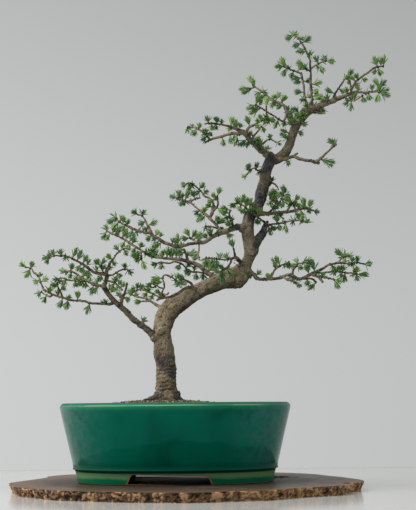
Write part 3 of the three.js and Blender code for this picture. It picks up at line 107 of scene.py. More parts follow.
# The limbs of each branch, each from its seat to its tip, and the spots of its tufts
BRANCHES: dict[str, Limbs] = {
    "branch_low_left": ((
        ((-24, -4, 201, 4.8), (-32, -7, 206, 4.4), (-39, -10, 212, 4.1), (-47, -13, 218, 4),
         (-55, -16, 224, 3.8), (-62, -20, 232, 3.6), (-70, -23, 239, 3.4), (-78, -27, 246, 3.3),
         (-84, -30, 253, 3.1), (-89, -34, 260, 3.1), (-91, -36, 265, 3.4), (-89, -38, 272, 2.2),
         (-87, -41, 278, 2.5), (-88, -41, 283, 2.3), (-85, -42, 290, 2.2), (-83, -41, 296, 1.6),
         (-79, -39, 301, 1), (-75, -36, 308, 0.9), (-70, -32, 313, 0.9), (-65, -29, 316, 0.8),
         (-58, -25, 315, 0.8)),
        ((-87, -41, 280, 2.1), (-95, -43, 281, 2), (-101, -46, 282, 1.8), (-106, -49, 284, 1.7),
         (-111, -52, 288, 1.6), (-120, -56, 294, 1.3), (-132, -60, 300, 1), (-139, -63, 302, 0.9),
         (-145, -66, 302, 0.9), (-153, -68, 302, 0.8), (-158, -70, 299, 0.8)),
        ((-87, -41, 279, 1.2), (-81, -37, 280, 1), (-76, -34, 283, 1), (-71, -29, 287, 0.9),
         (-66, -25, 289, 0.9), (-62, -22, 289, 0.8)),
        ((-91, -36, 266, 1.7), (-99, -34, 267, 1.7), (-106, -31, 269, 1.8), (-112, -28, 273, 1.4),
         (-117, -25, 276, 1.2), (-124, -22, 280, 1.1), (-131, -18, 285, 1.1), (-138, -15, 288, 0.9),
         (-146, -11, 289, 0.8)),
        ((-112, -28, 273, 1.2), (-120, -29, 273, 1.1), (-127, -30, 273, 1), (-135, -31, 274, 0.9),
         (-140, -32, 275, 0.9), (-147, -33, 277, 0.8), (-152, -34, 276, 0.8)),
        ((-88, -39, 272, 1.3), (-82, -43, 271, 1.2), (-76, -48, 268, 1.2), (-71, -52, 263, 1.2),
         (-66, -56, 258, 1.3)),
        ((-69, -24, 240, 2), (-69, -29, 246, 2.1), (-66, -36, 252, 1.7), (-63, -43, 258, 1.3),
         (-61, -49, 264, 1), (-60, -53, 268, 0.8)),
        ((-78, -27, 245, 1.8), (-83, -28, 243, 2), (-91, -25, 243, 1.4), (-100, -22, 244, 1.4),
         (-110, -20, 245, 1.3), (-119, -17, 248, 1.3), (-129, -13, 249, 1.3), (-137, -10, 250, 1.3),
         (-146, -5, 253, 1.2), (-155, 0, 256, 1.2), (-163, 4, 259, 1.2), (-171, 8, 263, 1.1),
         (-177, 13, 267, 1.3), (-180, 15, 273, 1.2), (-183, 17, 279, 1.1), (-185, 19, 285, 1.1),
         (-192, 21, 291, 1), (-195, 22, 296, 0.8), (-199, 24, 298, 0.8), (-204, 25, 299, 0.8)),
        ((-164, 6, 259, 1.3), (-168, 7, 257, 1.2), (-175, 13, 260, 0.9), (-181, 17, 264, 0.8)),
        ((-150, -3, 255, 1.2), (-151, -9, 260, 1.1), (-153, -16, 264, 0.9), (-155, -22, 272, 0.8)),
        ((-91, -42, 281, 1), (-95, -45, 291, 0.8)),
    ), (
        (-83, 302), (-99, 295), (-75, 315), (-64, 311), (-104, 269), (-100, 274), (-95, 277), (-107, 261),
        (-79, 264), (-75, 270), (-84, 261), (-43, 220), (-162, 299), (-154, 305), (-144, 304), (-127, 306),
        (-121, 303), (-136, 293), (-114, 298), (-122, 288), (-111, 283), (-119, 282), (-100, 284),
        (-65, 291), (-60, 286), (-73, 280), (-148, 289), (-138, 283), (-130, 279), (-122, 271), (-116, 269),
        (-113, 279), (-153, 275), (-143, 272), (-130, 271), (-70, 253), (-62, 249), (-66, 264), (-206, 300),
        (-195, 301), (-200, 291), (-185, 287), (-187, 279), (-177, 280), (-183, 263), (-175, 254),
        (-168, 263), (-156, 259), (-148, 265), (-128, 256), (-144, 243), (-114, 237), (-90, 244),
        (-158, 269), (-153, 272), (-92, 296), (-79, 295), (-117, 287), (-74, 261), (-152, 246), (-161, 295),
    )),
    "twig_trunk_crook": ((
        ((-20, 6, 241, 2.3), (-27, 13, 246, 1.7), (-34, 20, 251, 1.5), (-40, 27, 255, 1.4),
         (-47, 34, 257, 1.2), (-54, 41, 259, 1.1), (-61, 48, 263, 0.8)),
        ((-34, 20, 251, 1.1), (-40, 27, 251, 1), (-44, 34, 252, 0.8)),
    ), (
        (-63, 265), (-59, 268), (-50, 251),
    )),
    "twigs_over_bend": ((
        ((28, -4, 264, 2.3), (20, -8, 266, 1.9), (13, -11, 264, 1.7), (5, -15, 258, 1.6),
         (-3, -20, 253, 1.5), (-11, -24, 251, 1.4), (-17, -28, 250, 1.8), (-23, -31, 247, 0.9)),
        ((24, -8, 265, 1.6), (23, -10, 269, 1.5), (19, -11, 273, 1.3), (14, -14, 275, 1.1)),
        ((-12, -24, 251, 1.2), (-16, -25, 256, 1.1), (-15, -27, 260, 0.9), (-13, -29, 264, 0.9),
         (-13, -31, 269, 0.9), (-15, -30, 276, 0.9), (-13, -29, 280, 0.8), (-9, -28, 280, 0.8),
         (-4, -26, 278, 0.8), (1, -24, 275, 0.8), (6, -22, 272, 0.8)),
        ((-16, -25, 256, 0.9), (-12, -29, 254, 0.9), (-8, -34, 255, 0.8), (-7, -35, 257, 0.8)),
        ((-15, -28, 263, 0.8), (-19, -24, 264, 0.8), (-23, -21, 267, 0.8), (-28, -17, 265, 0.8),
         (-31, -15, 266, 0.8)),
        ((-19, -28, 251, 0.9), (-27, -22, 256, 0.9), (-32, -19, 258, 0.9), (-38, -15, 261, 0.8),
         (-45, -11, 263, 0.8), (-50, -8, 263, 0.8), (-54, -6, 261, 0.8)),
    ), (
        (12, 276), (-32, 267), (-26, 269), (-22, 275), (4, 279), (5, 270), (8, 274), (-20, 257), (-29, 253),
        (-38, 256), (-35, 261), (-50, 268), (-45, 265), (11, 270),
    )),
    "branch_left_rear": ((
        ((53, 14, 279, 3.9), (51, 17, 284, 3.7), (45, 20, 287, 3.3), (39, 22, 293, 3.1), (34, 24, 298, 2.9),
         (26, 26, 302, 2.7), (17, 28, 305, 2.6), (9, 31, 308, 2.3), (-5, 35, 310, 1.8), (-19, 40, 312, 1.7),
         (-33, 45, 315, 1.5), (-43, 50, 321, 1.4), (-51, 56, 327, 1.4), (-60, 61, 333, 1.3),
         (-69, 66, 340, 1.3), (-79, 70, 346, 1.1), (-89, 74, 351, 1.1), (-98, 78, 356, 1)),
        ((17, 28, 307, 1.9), (15, 24, 314, 1.6), (12, 20, 321, 1.5)),
        ((42, 21, 288, 1.2), (31, 24, 290, 1.1), (23, 28, 291, 1.1), (16, 27, 295, 1.1), (11, 25, 300, 1.1),
         (5, 22, 303, 1), (-1, 20, 304, 1), (-8, 20, 302, 1), (-16, 20, 303, 0.8), (-22, 22, 303, 0.8)),
        ((-48, 54, 325, 1), (-48, 52, 312, 0.8)),
    ), (
        (-99, 360), (-102, 349), (-88, 355), (-79, 358), (-72, 350), (-69, 357), (-61, 344), (-74, 336),
        (-66, 332), (-48, 331), (-54, 314), (-45, 305), (-40, 319), (-35, 322), (-28, 328), (-26, 333),
        (-21, 314), (-17, 318), (-31, 314), (-10, 323), (-3, 321), (2, 318), (8, 320), (-7, 315), (24, 315),
        (-27, 301), (-19, 298), (5, 297), (17, 292), (28, 285), (26, 295), (43, 301), (-52, 310),
        (-55, 317), (-58, 326), (-59, 338), (-96, 347), (49, 294), (17, 299), (8, 315), (38, 284),
    )),
    "twigs_inside_bend": ((
        ((91, -7, 297, 2.7), (85, -11, 303, 2.1), (81, -14, 306, 1.6), (80, -17, 310, 1.3),
         (79, -20, 315, 1.2)),
        ((85, -11, 303, 1.3), (77, -20, 303, 1.1), (68, -28, 300, 0.9), (59, -35, 300, 0.9),
         (50, -42, 300, 0.8), (42, -48, 300, 0.8)),
        ((82, -13, 305, 1.5), (77, -15, 303, 1.3), (74, -17, 296, 1.2), (68, -22, 289, 1.1),
         (62, -28, 284, 0.9)),
    ), (
        (77, 322), (41, 297), (60, 302), (69, 304), (50, 296), (56, 291), (63, 289), (46, 290), (63, 282),
        (76, 283), (62, 274), (56, 285), (41, 294), (53, 292),
    )),
    "branch_middle_left": ((
        ((92, -4, 346, 5.4), (85, -6, 347, 4.6), (79, -8, 345, 4), (70, -10, 341, 3.7), (61, -12, 338, 3.5),
         (53, -14, 334, 2.9), (46, -16, 329, 2.5), (40, -18, 325, 2.3), (32, -20, 324, 2),
         (24, -21, 323, 1.9), (16, -22, 321, 1.9), (9, -24, 319, 2.1), (1, -24, 319, 2.4),
         (-7, -25, 322, 2.2), (-15, -24, 325, 2.1), (-21, -24, 330, 1.9), (-28, -23, 334, 1.7),
         (-32, -22, 338, 2.3), (-39, -21, 338, 1.6), (-47, -20, 341, 1.5), (-55, -18, 344, 1.6),
         (-59, -17, 346, 1.9), (-64, -15, 349, 1.1), (-70, -13, 352, 0.9), (-75, -10, 356, 0.9),
         (-78, -8, 360, 0.8)),
        ((-31, -22, 339, 1.2), (-34, -20, 346, 1.1), (-37, -17, 352, 1.1), (-40, -13, 358, 0.9),
         (-43, -8, 363, 0.9), (-49, -6, 365, 0.8)),
        ((62, -13, 339, 2.1), (59, -10, 345, 1.7), (55, -7, 351, 1.7), (50, -4, 357, 1.7), (45, 0, 363, 2),
         (39, 4, 368, 1.4), (33, 7, 373, 1.2), (28, 10, 378, 1.1), (22, 14, 384, 1.1), (23, 16, 387, 1),
         (28, 18, 390, 0.8), (35, 20, 392, 0.8)),
        ((48, -1, 360, 1.6), (51, 6, 369, 2.2), (52, 13, 378, 1.5), (52, 18, 386, 1.2), (47, 22, 392, 1.1),
         (41, 25, 395, 1.1), (37, 28, 401, 1), (33, 31, 406, 1), (28, 34, 411, 0.8), (24, 35, 414, 0.8),
         (17, 36, 415, 0.8)),
        ((52, 8, 371, 1.2), (58, 4, 377, 1.1), (59, 0, 381, 1.1), (58, -3, 386, 0.9), (58, -6, 389, 0.8)),
        ((79, -7, 346, 1.9), (77, -13, 354, 1.3), (74, -16, 360, 1.2), (74, -20, 364, 1.1),
         (75, -21, 367, 0.9)),
        ((57, -11, 345, 0.9), (49, -17, 346, 0.9), (42, -21, 346, 0.8)),
        ((29, -20, 324, 1.1), (26, -14, 329, 0.9), (21, -11, 332, 0.8)),
        ((33, -20, 324, 0.9), (33, -22, 315, 0.8), (32, -25, 307, 0.8), (33, -28, 300, 0.8)),
        ((22, 14, 384, 1.2), (13, 16, 388, 1), (3, 17, 391, 0.8)),
    ), (
        (-79, 361), (-85, 355), (-70, 358), (-62, 351), (-78, 350), (-57, 338), (-49, 341), (-33, 331),
        (-23, 336), (-53, 367), (-42, 365), (-43, 351), (-28, 351), (-37, 344), (5, 391), (14, 386),
        (17, 395), (19, 405), (25, 397), (31, 400), (31, 369), (34, 360), (39, 372), (14, 414), (23, 412),
        (37, 410), (42, 400), (50, 386), (48, 378), (60, 395), (64, 369), (72, 352), (75, 349), (63, 354),
        (57, 357), (72, 358), (42, 345), (72, 338), (42, 333), (49, 337), (26, 336), (17, 339), (15, 331),
        (5, 329), (6, 397), (-2, 393), (9, 384), (-24, 322), (-67, 346), (69, 369), (-1, 326), (34, 335),
        (54, 390), (29, 303),
    )),
    "branch_middle_right": ((
        ((112, 3, 369, 3.2), (120, 6, 367, 3), (130, 12, 368, 2.6), (139, 18, 370, 2.3),
         (150, 26, 372, 2.1), (158, 34, 374, 1.8), (167, 43, 378, 1.5), (177, 53, 381, 1.3),
         (186, 62, 383, 1.1), (193, 70, 382, 0.8)),
        ((127, 10, 368, 1.6), (132, 7, 372, 1.4), (137, 2, 374, 1.2), (141, -3, 378, 1.1),
         (143, -10, 382, 0.9), (146, -17, 388, 0.8)),
        ((153, 29, 373, 1.2), (158, 25, 380, 1.1), (163, 20, 385, 0.8)),
        ((139, 18, 370, 1), (144, 13, 364, 0.8), (148, 8, 360, 0.8)),
        ((140, -2, 377, 1), (134, -4, 382, 0.9), (129, -5, 386, 0.8)),
    ), (
        (146, 397), (135, 393), (147, 392), (156, 389), (143, 388), (151, 387), (133, 385), (167, 389),
        (179, 392), (189, 390), (140, 380), (149, 381), (158, 383), (163, 381), (171, 383), (181, 382),
        (187, 381), (198, 380), (176, 374), (170, 368), (139, 364), (144, 364), (136, 373), (129, 390),
        (133, 395), (130, 380), (146, 383),
    )),
    "twig_trunk_right": ((
        ((127, 3, 407, 1.4), (131, 0, 408, 1.1), (135, -4, 406, 0.9), (139, -10, 400, 0.8),
         (140, -13, 396, 0.8)),
    ), (
        (132, 412),
    )),
    "twigs_on_stub": ((
        ((122, 10, 349, 1.8), (128, 7, 351, 1.4), (133, 4, 352, 1.2), (139, 0, 352, 1.1),
         (147, -4, 353, 1.1), (155, -8, 354, 0.9), (163, -13, 354, 0.9), (170, -18, 353, 0.8),
         (175, -22, 350, 0.8)),
        ((124, 11, 353, 1.5), (117, 3, 358, 1.1), (111, -7, 361, 0.9), (105, -15, 363, 0.8)),
    ), (
        (132, 346), (141, 347), (150, 344), (159, 354), (171, 351), (176, 350), (103, 365), (114, 367),
        (110, 354), (129, 343), (138, 357),
    )),
    "twig_trunk_left": ((
        ((103, -4, 366, 1.5), (98, -8, 371, 1.1), (94, -12, 374, 0.9), (89, -15, 376, 0.9),
         (84, -20, 377, 0.8), (79, -25, 375, 0.8)),
    ), (
        (78, 373), (84, 378), (92, 382), (99, 378), (104, 384), (88, 372), (93, 369),
    )),
    "twig_high_left": ((
        ((119, -3, 424, 1.4), (113, -7, 424, 1.1), (108, -11, 426, 0.9), (103, -15, 423, 0.8),
         (98, -20, 416, 0.8)),
    ), (
        (101, 426), (111, 427), (96, 415),
    )),
    "branch_high_left": ((
        ((131, -3, 442, 4.9), (124, -6, 447, 4.5), (116, -8, 453, 4.3), (110, -11, 459, 4),
         (104, -14, 463, 4), (99, -17, 469, 3.6), (95, -20, 473, 3.2), (89, -22, 475, 2.5),
         (84, -25, 477, 2), (78, -29, 478, 1.7), (72, -34, 479, 1.3), (64, -38, 480, 1.1),
         (56, -42, 480, 1.1), (48, -46, 480, 0.9), (42, -50, 478, 0.8)),
        ((93, -20, 473, 2.6), (87, -17, 472, 2.3), (80, -14, 474, 2), (73, -11, 473, 1.8),
         (65, -8, 471, 1.6), (57, -4, 470, 1.6), (49, -1, 468, 1.4), (42, 3, 465, 0.8)),
        ((49, -1, 468, 1.2), (46, 1, 472, 1.1), (41, 3, 477, 1.1), (37, 5, 482, 1), (33, 7, 485, 1),
         (27, 10, 488, 0.8), (18, 14, 489, 0.8)),
        ((97, -18, 471, 2.2), (101, -24, 479, 1.5), (107, -27, 481, 1.2), (113, -29, 484, 1.1),
         (118, -32, 486, 0.9), (123, -36, 489, 0.9), (124, -39, 495, 0.8), (124, -42, 502, 0.8)),
        ((105, -13, 463, 1.5), (108, -8, 471, 1.2), (113, -6, 477, 1.1), (116, -3, 482, 1),
         (120, 0, 487, 0.8)),
        ((116, -10, 456, 1.4), (123, -17, 461, 1.1), (128, -22, 463, 0.9), (133, -28, 460, 0.8),
         (136, -36, 456, 0.8)),
    ), (
        (42, 477), (46, 483), (58, 483), (56, 476), (78, 486), (84, 482), (75, 478), (112, 466), (108, 459),
        (114, 455), (93, 460), (100, 459), (118, 461), (125, 454), (18, 488), (28, 481), (34, 486),
        (42, 476), (41, 470), (51, 476), (66, 464), (84, 464), (77, 466), (100, 487), (110, 480),
        (116, 490), (129, 487), (136, 483), (121, 484), (124, 510), (123, 485), (129, 463), (138, 454),
        (104, 473), (123, 488),
    )),
    "branch_high_right": ((
        ((143, -4, 440, 2.6), (151, -7, 439, 2.2), (157, -10, 441, 2), (162, -13, 441, 2),
         (168, -15, 438, 2), (176, -18, 435, 2), (184, -22, 433, 2.1), (190, -25, 431, 2.1),
         (196, -29, 435, 1.5), (204, -32, 442, 1.2), (212, -34, 449, 1.1), (216, -36, 452, 0.9)),
        ((160, -13, 441, 1.5), (167, -6, 447, 1.2)),
        ((187, -24, 431, 2), (195, -22, 430, 2)),
        ((195, -28, 434, 0.9), (200, -28, 432, 0.8)),
    ), (
        (210, 455), (215, 454), (206, 428), (153, 434), (208, 430),
    )),
    "leader_left": ((
        ((164, 6, 493, 3.3), (158, 9, 501, 2.9), (155, 13, 509, 2.5), (153, 16, 517, 2.1),
         (148, 20, 523, 1.8), (141, 23, 527, 1.7), (134, 27, 531, 1.4), (129, 30, 537, 1.3),
         (124, 34, 543, 1.3), (118, 38, 549, 1.1), (110, 42, 556, 0.8)),
        ((155, 11, 508, 1.6), (149, 3, 494, 1.1), (136, -4, 500, 1), (129, -7, 503, 1),
         (122, -10, 507, 0.8), (116, -13, 510, 0.8), (111, -17, 512, 0.8)),
        ((113, 40, 553, 0.9), (106, 38, 550, 0.8)),
        ((118, -12, 509, 0.9), (114, -13, 506, 0.8)),
    ), (
        (107, 564), (99, 549), (118, 541), (114, 521), (124, 545), (137, 534), (144, 535), (150, 528),
        (140, 524), (146, 518), (104, 508), (150, 493), (162, 506), (155, 516), (99, 545), (107, 502),
        (140, 490), (123, 536), (162, 511), (152, 530), (137, 525),
    )),
    "leader_tall": ((
        ((186, 3, 515, 2.7), (189, 0, 523, 1.8), (188, -1, 529, 1.6), (188, -3, 536, 1.5),
         (187, -5, 544, 1.4), (187, -7, 552, 1.4), (187, -9, 559, 1.2), (186, -11, 567, 1.2),
         (186, -10, 576, 1.2), (182, -8, 588, 1.2), (176, -6, 601, 1), (171, -3, 610, 0.8),
         (167, 0, 615, 0.8)),
        ((187, -10, 563, 1.1), (190, -14, 565, 1), (198, -18, 569, 0.8), (206, -25, 570, 0.8)),
        ((186, -10, 560, 1), (182, -6, 564, 0.8), (179, 0, 568, 0.8)),
    ), (
        (159, 611), (166, 617), (174, 609), (184, 606), (168, 597), (174, 590), (185, 581), (194, 574),
        (205, 573), (212, 569), (200, 562), (180, 565), (195, 544), (192, 532), (197, 524), (172, 575),
    )),
    "leader_middle": ((
        ((181, 6, 512, 2.6), (183, 11, 520, 1.9), (181, 15, 527, 1.7), (180, 18, 535, 1.5),
         (180, 21, 543, 1.4), (180, 24, 549, 1.4), (179, 27, 557, 1.3), (177, 31, 570, 1.5)),
        ((177, 31, 569, 1.1), (172, 32, 572, 1), (165, 34, 575, 1), (159, 35, 579, 0.8), (154, 36, 581, 0.8)),
    ), (
        (177, 580), (152, 589), (144, 580), (154, 571), (165, 569), (170, 561), (170, 539), (178, 526),
        (185, 557), (185, 531),
    )),
    "leader_right": ((
        ((194, 3, 512, 4.4), (200, 3, 515, 4.4), (208, 1, 518, 4), (216, 0, 521, 3.7), (224, -2, 524, 3.3),
         (232, -4, 526, 2.7), (240, -6, 529, 2.2), (247, -8, 531, 1.8), (254, -11, 530, 1.4),
         (261, -14, 528, 1.2), (267, -16, 529, 1.1), (274, -18, 529, 1.1), (277, -20, 533, 0.8)),
        ((217, 0, 523, 1.6), (222, 6, 534, 1.2), (227, 10, 542, 1.1), (231, 13, 548, 1.1),
         (234, 16, 553, 1), (238, 20, 559, 0.8)),
        ((242, -6, 530, 1.9), (241, -11, 537, 1.2), (239, -15, 544, 0.9)),
        ((242, -7, 534, 1.5), (249, -2, 547, 1.4), (257, 3, 555, 1.2), (265, 7, 561, 1.2),
         (272, 11, 567, 1.2), (279, 17, 573, 1.2), (291, 22, 576, 0.8)),
        ((233, -4, 525, 1.1), (239, -11, 518, 0.8), (246, -20, 517, 0.8), (255, -28, 521, 0.8)),
        ((190, 3, 509, 1.4), (198, -4, 503, 1.1), (205, -10, 501, 0.8)),
        ((274, -18, 529, 0.9), (278, -20, 527, 0.8)),
    ), (
        (213, 536), (231, 538), (236, 530), (243, 564), (251, 552), (260, 552), (249, 544), (251, 536),
        (280, 582), (292, 585), (285, 568), (275, 539), (285, 541), (284, 524), (265, 524), (255, 518),
        (276, 521), (245, 521), (240, 525), (240, 511), (204, 510), (204, 522), (211, 525), (284, 529),
        (269, 534), (237, 546), (245, 551),
    )),
    "branch_low_right": ((
        ((97, -1, 288, 3.5), (105, -4, 283, 2.7), (109, -6, 278, 2.5), (116, -8, 276, 2.1),
         (124, -11, 276, 2), (133, -13, 276, 2), (141, -15, 277, 1.9), (148, -18, 280, 1.7),
         (154, -20, 280, 2.1), (161, -21, 276, 1.8), (165, -22, 274, 2.1), (171, -24, 276, 1.7),
         (178, -25, 279, 1.7), (184, -27, 282, 1.6), (191, -28, 285, 1.8), (197, -29, 288, 1.3),
         (204, -31, 292, 1.3), (210, -32, 293, 1.3), (216, -34, 294, 1.6), (224, -36, 293, 1),
         (233, -38, 293, 1), (241, -40, 293, 0.9), (248, -42, 291, 0.8)),
        ((128, -13, 277, 1.3), (131, -8, 284, 1.1), (135, -6, 290, 1.1), (140, -3, 294, 0.9),
         (147, 1, 297, 0.8), (154, 6, 299, 0.8)),
        ((156, -20, 280, 1.5), (157, -24, 286, 1.2), (161, -27, 291, 1.1), (163, -29, 294, 0.9),
         (169, -34, 294, 0.8)),
        ((144, -17, 278, 1.3), (149, -22, 274, 1.5), (154, -27, 272, 1.2), (159, -31, 269, 0.9)),
        ((166, -22, 275, 1.3), (173, -17, 275, 1.2), (180, -11, 276, 1.2), (185, -7, 275, 1.2),
         (189, -4, 271, 1.2)),
        ((180, -27, 280, 1.7), (188, -31, 276, 1.4), (195, -36, 268, 1.3)),
        ((185, -27, 283, 1.2), (195, -21, 282, 1.1), (204, -15, 284, 1.1), (212, -11, 285, 1.1),
         (221, -7, 285, 0.9), (230, -4, 284, 0.9), (240, 0, 284, 0.8), (244, 3, 283, 0.8)),
        ((189, -32, 277, 1), (196, -36, 274, 0.9), (203, -41, 273, 0.8), (208, -43, 271, 0.8)),
        ((215, -34, 294, 1), (223, -24, 302, 0.9), (232, -17, 305, 0.8)),
    ), (
        (137, 303), (151, 297), (128, 280), (111, 283), (162, 296), (165, 289), (171, 294), (177, 295),
        (175, 286), (183, 293), (163, 266), (158, 275), (176, 272), (183, 266), (186, 279), (194, 276),
        (208, 289), (215, 285), (221, 289), (227, 278), (245, 279), (254, 282), (244, 287), (213, 269),
        (217, 308), (225, 304), (233, 305), (224, 295), (224, 288), (233, 292), (239, 295), (243, 287),
        (251, 290), (133, 300), (158, 296), (211, 265),
    )),
}

# Surface roots, from the trunk's base down into the soil
ROOTS: tuple[Route, ...] = (
    ((-14, -4, 122, 8), (-26, -8, 119.5, 5), (-37, -11, 117.8, 4), (-45, -13, 114.5, 3.2),
     (-62, -15, 101, 2)),
    ((-9, -6, 122, 8), (-6, -19, 116, 6), (1, -34, 110, 4.2), (6, -56, 98, 2)),
    ((-4, 0, 121, 8), (5, -3, 117, 5.5), (15, -7, 111.5, 4), (42, -8, 99, 2)),
    ((-6, 6, 122, 8), (2, 19, 116, 6), (12, 34, 110, 4.2), (23, 56, 97, 2)),
    ((-15, 5, 121, 8), (-27, 17, 116, 6), (-39, 30, 109, 4.2), (-53, 51, 96, 2)),
)

# Healed cuts and knots on the trunk: middle and radius of each
KNOTS: Route = (
    (-19, -10, 207, 6), (-28, -3, 199, 6), (36, -7, 261, 6), (74, -8, 276, 7), (90, -9, 276, 8),
    (103, -6, 312, 5.5), (117, -4, 391, 5), (100, -7, 352, 4.5), (156, -5, 452, 4), (-4, -9, 166, 5),
    (87, -3, 270, 6.5), (3, -5, 126, 4.5), (-25, -5, 126, 4.5),
)

# Blackish patches on the trunk: middle and reach of each
STAINS: Route = (
    (-23, -11, 169, 9), (-17, -13, 165, 8), (-10, -14, 160, 9), (-3, -12, 155, 9), (1, -10, 151, 7),
    (-12, -14, 170, 7), (-5, -10, 170, 7), (92, -8, 372, 9), (114, -2, 388, 9), (118, 0, 396, 8),
    (124, -2, 436, 9), (128, -2, 446, 7), (113, 0, 324, 8), (116, 2, 332, 9), (119, 6, 341, 9),
    (122, 8, 350, 8), (-28, -10, 122, 9), (-18, -14, 118, 8), (-8, -14, 118, 8), (4, -12, 122, 10),
    (104, 4, 318, 6), (-16, 12, 150, 10), (119, 10, 425, 8), (134, -1, 414, 5), (176, 2, 502, 6),
    (80, 10, 272, 8), (84, -16, 298, 8), (20, 12, 252, 7), (129, -8, 440, 9), (126, -9, 429, 9),
    (115, -9, 384, 9), (104, -11, 360, 7), (119, -9, 346, 8), (115, -10, 334, 8), (110, -9, 322, 6),
)

# Strands of black wire left on at the crook, and a dead spur higher up
STRANDS: tuple[Route, ...] = (
    ((80, -13, 305, 0.9), (85, -16, 303, 1.0), (90, -11, 297, 0.9)),
    ((79, -13, 301.5, 0.9), (84.6, -16, 299, 1.0), (89, -11, 293, 0.9)),
    ((79, -12, 298, 0.9), (83, -15, 295, 1.0), (87, -11, 290, 0.9)),
    ((127, 1, 408, 2), (133, -1, 412, 1.5), (134.5, -2, 417, 1.2)),
)

TRUNK_TUFTS: tuple[Spot, ...] = (
    (174, 503), (176, 492), (172, 478), (150, 478), (152, 468),
)

# More tufts on the trunk's top, over its front
CROWN_TUFTS: tuple[Spot, ...] = (
    (160, 500), (168, 507), (164, 490), (175, 499), (158, 488), (181, 511), (191, 517), (169, 496),
    (204, 521),
)

# The slab's outline at its upper face, clockwise from its left end
SLAB_OUTLINE: tuple[Spot, ...] = (
    (-218, -6), (-209, 34), (-197, 69), (-188, 100), (-184, 121), (-187, 138), (-173, 168), (-154, 185),
    (-118, 190), (-80, 197), (-42, 194), (-8, 201), (30, 196), (72, 200), (106, 194), (137, 192),
    (175, 165), (198, 132), (212, 95), (226, 66), (233, 41), (244, 3), (243, -28), (229, -62), (213, -60),
    (217, -84), (209, -103), (186, -122), (152, -140), (132, -162), (102, -184), (68, -191), (42, -202),
    (11, -206), (-23, -199), (-47, -192), (-70, -186), (-94, -175), (-131, -156), (-148, -144),
    (-174, -109), (-195, -85), (-207, -44),
)


# --- The workbench ---


def take(piece: Piece) -> Piece:
    """Makes a piece the active one and the only one selected, and gives it back.

    Args:
        piece: The piece.

    Returns:
        The same piece.
    """
    bpy.ops.object.select_all(action="DESELECT")
    piece.select_set(True)
    bpy.context.view_layer.objects.active = piece
    return piece


def fresh(name: str) -> Piece:
    """Takes the primitive that was added last, and names it and its mesh.

    Args:
        name: The name.

    Returns:
        The piece.
    """
    piece = bpy.context.object
    piece.name = piece.data.name = name
    return take(piece)


@contextmanager
def editing(piece: Piece, select: bool = True) -> Iterator[Callable[[], bmesh.types.BMesh]]:
    """Edit mode on one piece.

    Args:
        piece: The piece to edit.
        select: Whether all of it starts selected.

    Yields:
        A function that gives the mesh as it stands, for picking what the next operator acts on.
    """
    take(piece)
    bpy.ops.object.mode_set(mode="EDIT")
    bpy.ops.mesh.select_all(action="SELECT" if select else "DESELECT")
    yield lambda: bmesh.from_edit_mesh(piece.data)
    bpy.ops.object.mode_set(mode="OBJECT")


def pick_edges(mesh: bmesh.types.BMesh, wanted: Callable[[bmesh.types.BMEdge], bool]) -> None:
    """Selects the edges of a mesh in edit mode that pass a test, and nothing else.

    Args:
        mesh: The mesh.
        wanted: The test.
    """
    bpy.ops.mesh.select_mode(type="EDGE")
    for edge in mesh.edges:
        edge.select_set(wanted(edge))
    mesh.select_flush_mode()


def close_outwards() -> None:
    """In edit mode, turns all the faces of a closed form outwards."""
    bpy.ops.mesh.select_all(action="SELECT")
    bpy.ops.mesh.normals_make_consistent(inside=False)


def apply(piece: Piece, kind: str, **settings: Any) -> None:
    """Adds a modifier of a kind, with its settings, and applies it.

    Args:
        piece: The piece.
        kind: The kind, as Blender names it.
        settings: The modifier's settings.
    """
    take(piece)
    modifier = piece.modifiers.new(kind.title(), kind)
    for key, value in settings.items():
        setattr(modifier, key, value)
    bpy.ops.object.modifier_apply(modifier=modifier.name)


def cut(piece: Piece, cutters: Sequence[Piece]) -> None:
    """Cuts a piece with other pieces, and uses them up.

    Args:
        piece: The piece to cut.
        cutters: What it is cut with.
    """
    cutter = joined(cutters, "cutter")
    apply(piece, "BOOLEAN", object=cutter, operation="DIFFERENCE", solver="MANIFOLD")
    drop(cutter)


def copy_of(piece: Piece, place: Matrix, **marks: float) -> Piece:
    """A copy of a piece with a mesh of its own.

    Args:
        piece: The piece to copy.
        place: Where the copy's mesh goes.
        marks: Attributes of the mesh, and what is added to each of them over the whole copy.

    Returns:
        The copy.
    """
    mesh = piece.data.copy()
    mesh.transform(place)
    for name, value in marks.items():
        mark(mesh, name, read(mesh, name) + value)
    twin = bpy.data.objects.new(piece.name, mesh)
    bpy.context.scene.collection.objects.link(twin)
    return twin


def joined(pieces: Sequence[Piece], name: str) -> Piece:
    """One piece out of several, which it uses up.

    Args:
        pieces: The pieces, the first of which takes in the others.
        name: The piece's name.

    Returns:
        The piece.
    """
    take(pieces[0])
    for piece in pieces:
        piece.select_set(True)
    if len(pieces) > 1:
        bpy.ops.object.join()
    return fresh(name)


def drop(*pieces: Piece) -> None:
    """Throws away pieces that have served as patterns or cutters."""
    for piece in pieces:
        bpy.data.objects.remove(piece)


def vectors_of(piece: Piece, kind: str) -> np.ndarray:
    """A vector of each vertex of a piece, by the name that Blender gives it, one to a row.

    Args:
        piece: The piece.
        kind: The vector's name.

    Returns:
        The vectors.
    """
    flat = np.zeros(3 * len(piece.data.vertices), np.float32)
    piece.data.vertices.foreach_get(kind, flat)
    return flat.reshape(-1, 3).astype(float)


def points_of(piece: Piece) -> np.ndarray:
    """The vertices of a piece in millimetres, one to a row."""
    return vectors_of(piece, "co") / MM


def normals_of(piece: Piece) -> np.ndarray:
    """The vertex normals of a piece, one to a row."""
    return vectors_of(piece, "normal")


def place_points(piece: Piece, points: np.ndarray) -> None:
    """Puts the vertices of a piece at points in millimetres."""
    piece.data.vertices.foreach_set("co", (points * MM).astype(np.float32).ravel())
    piece.data.update()


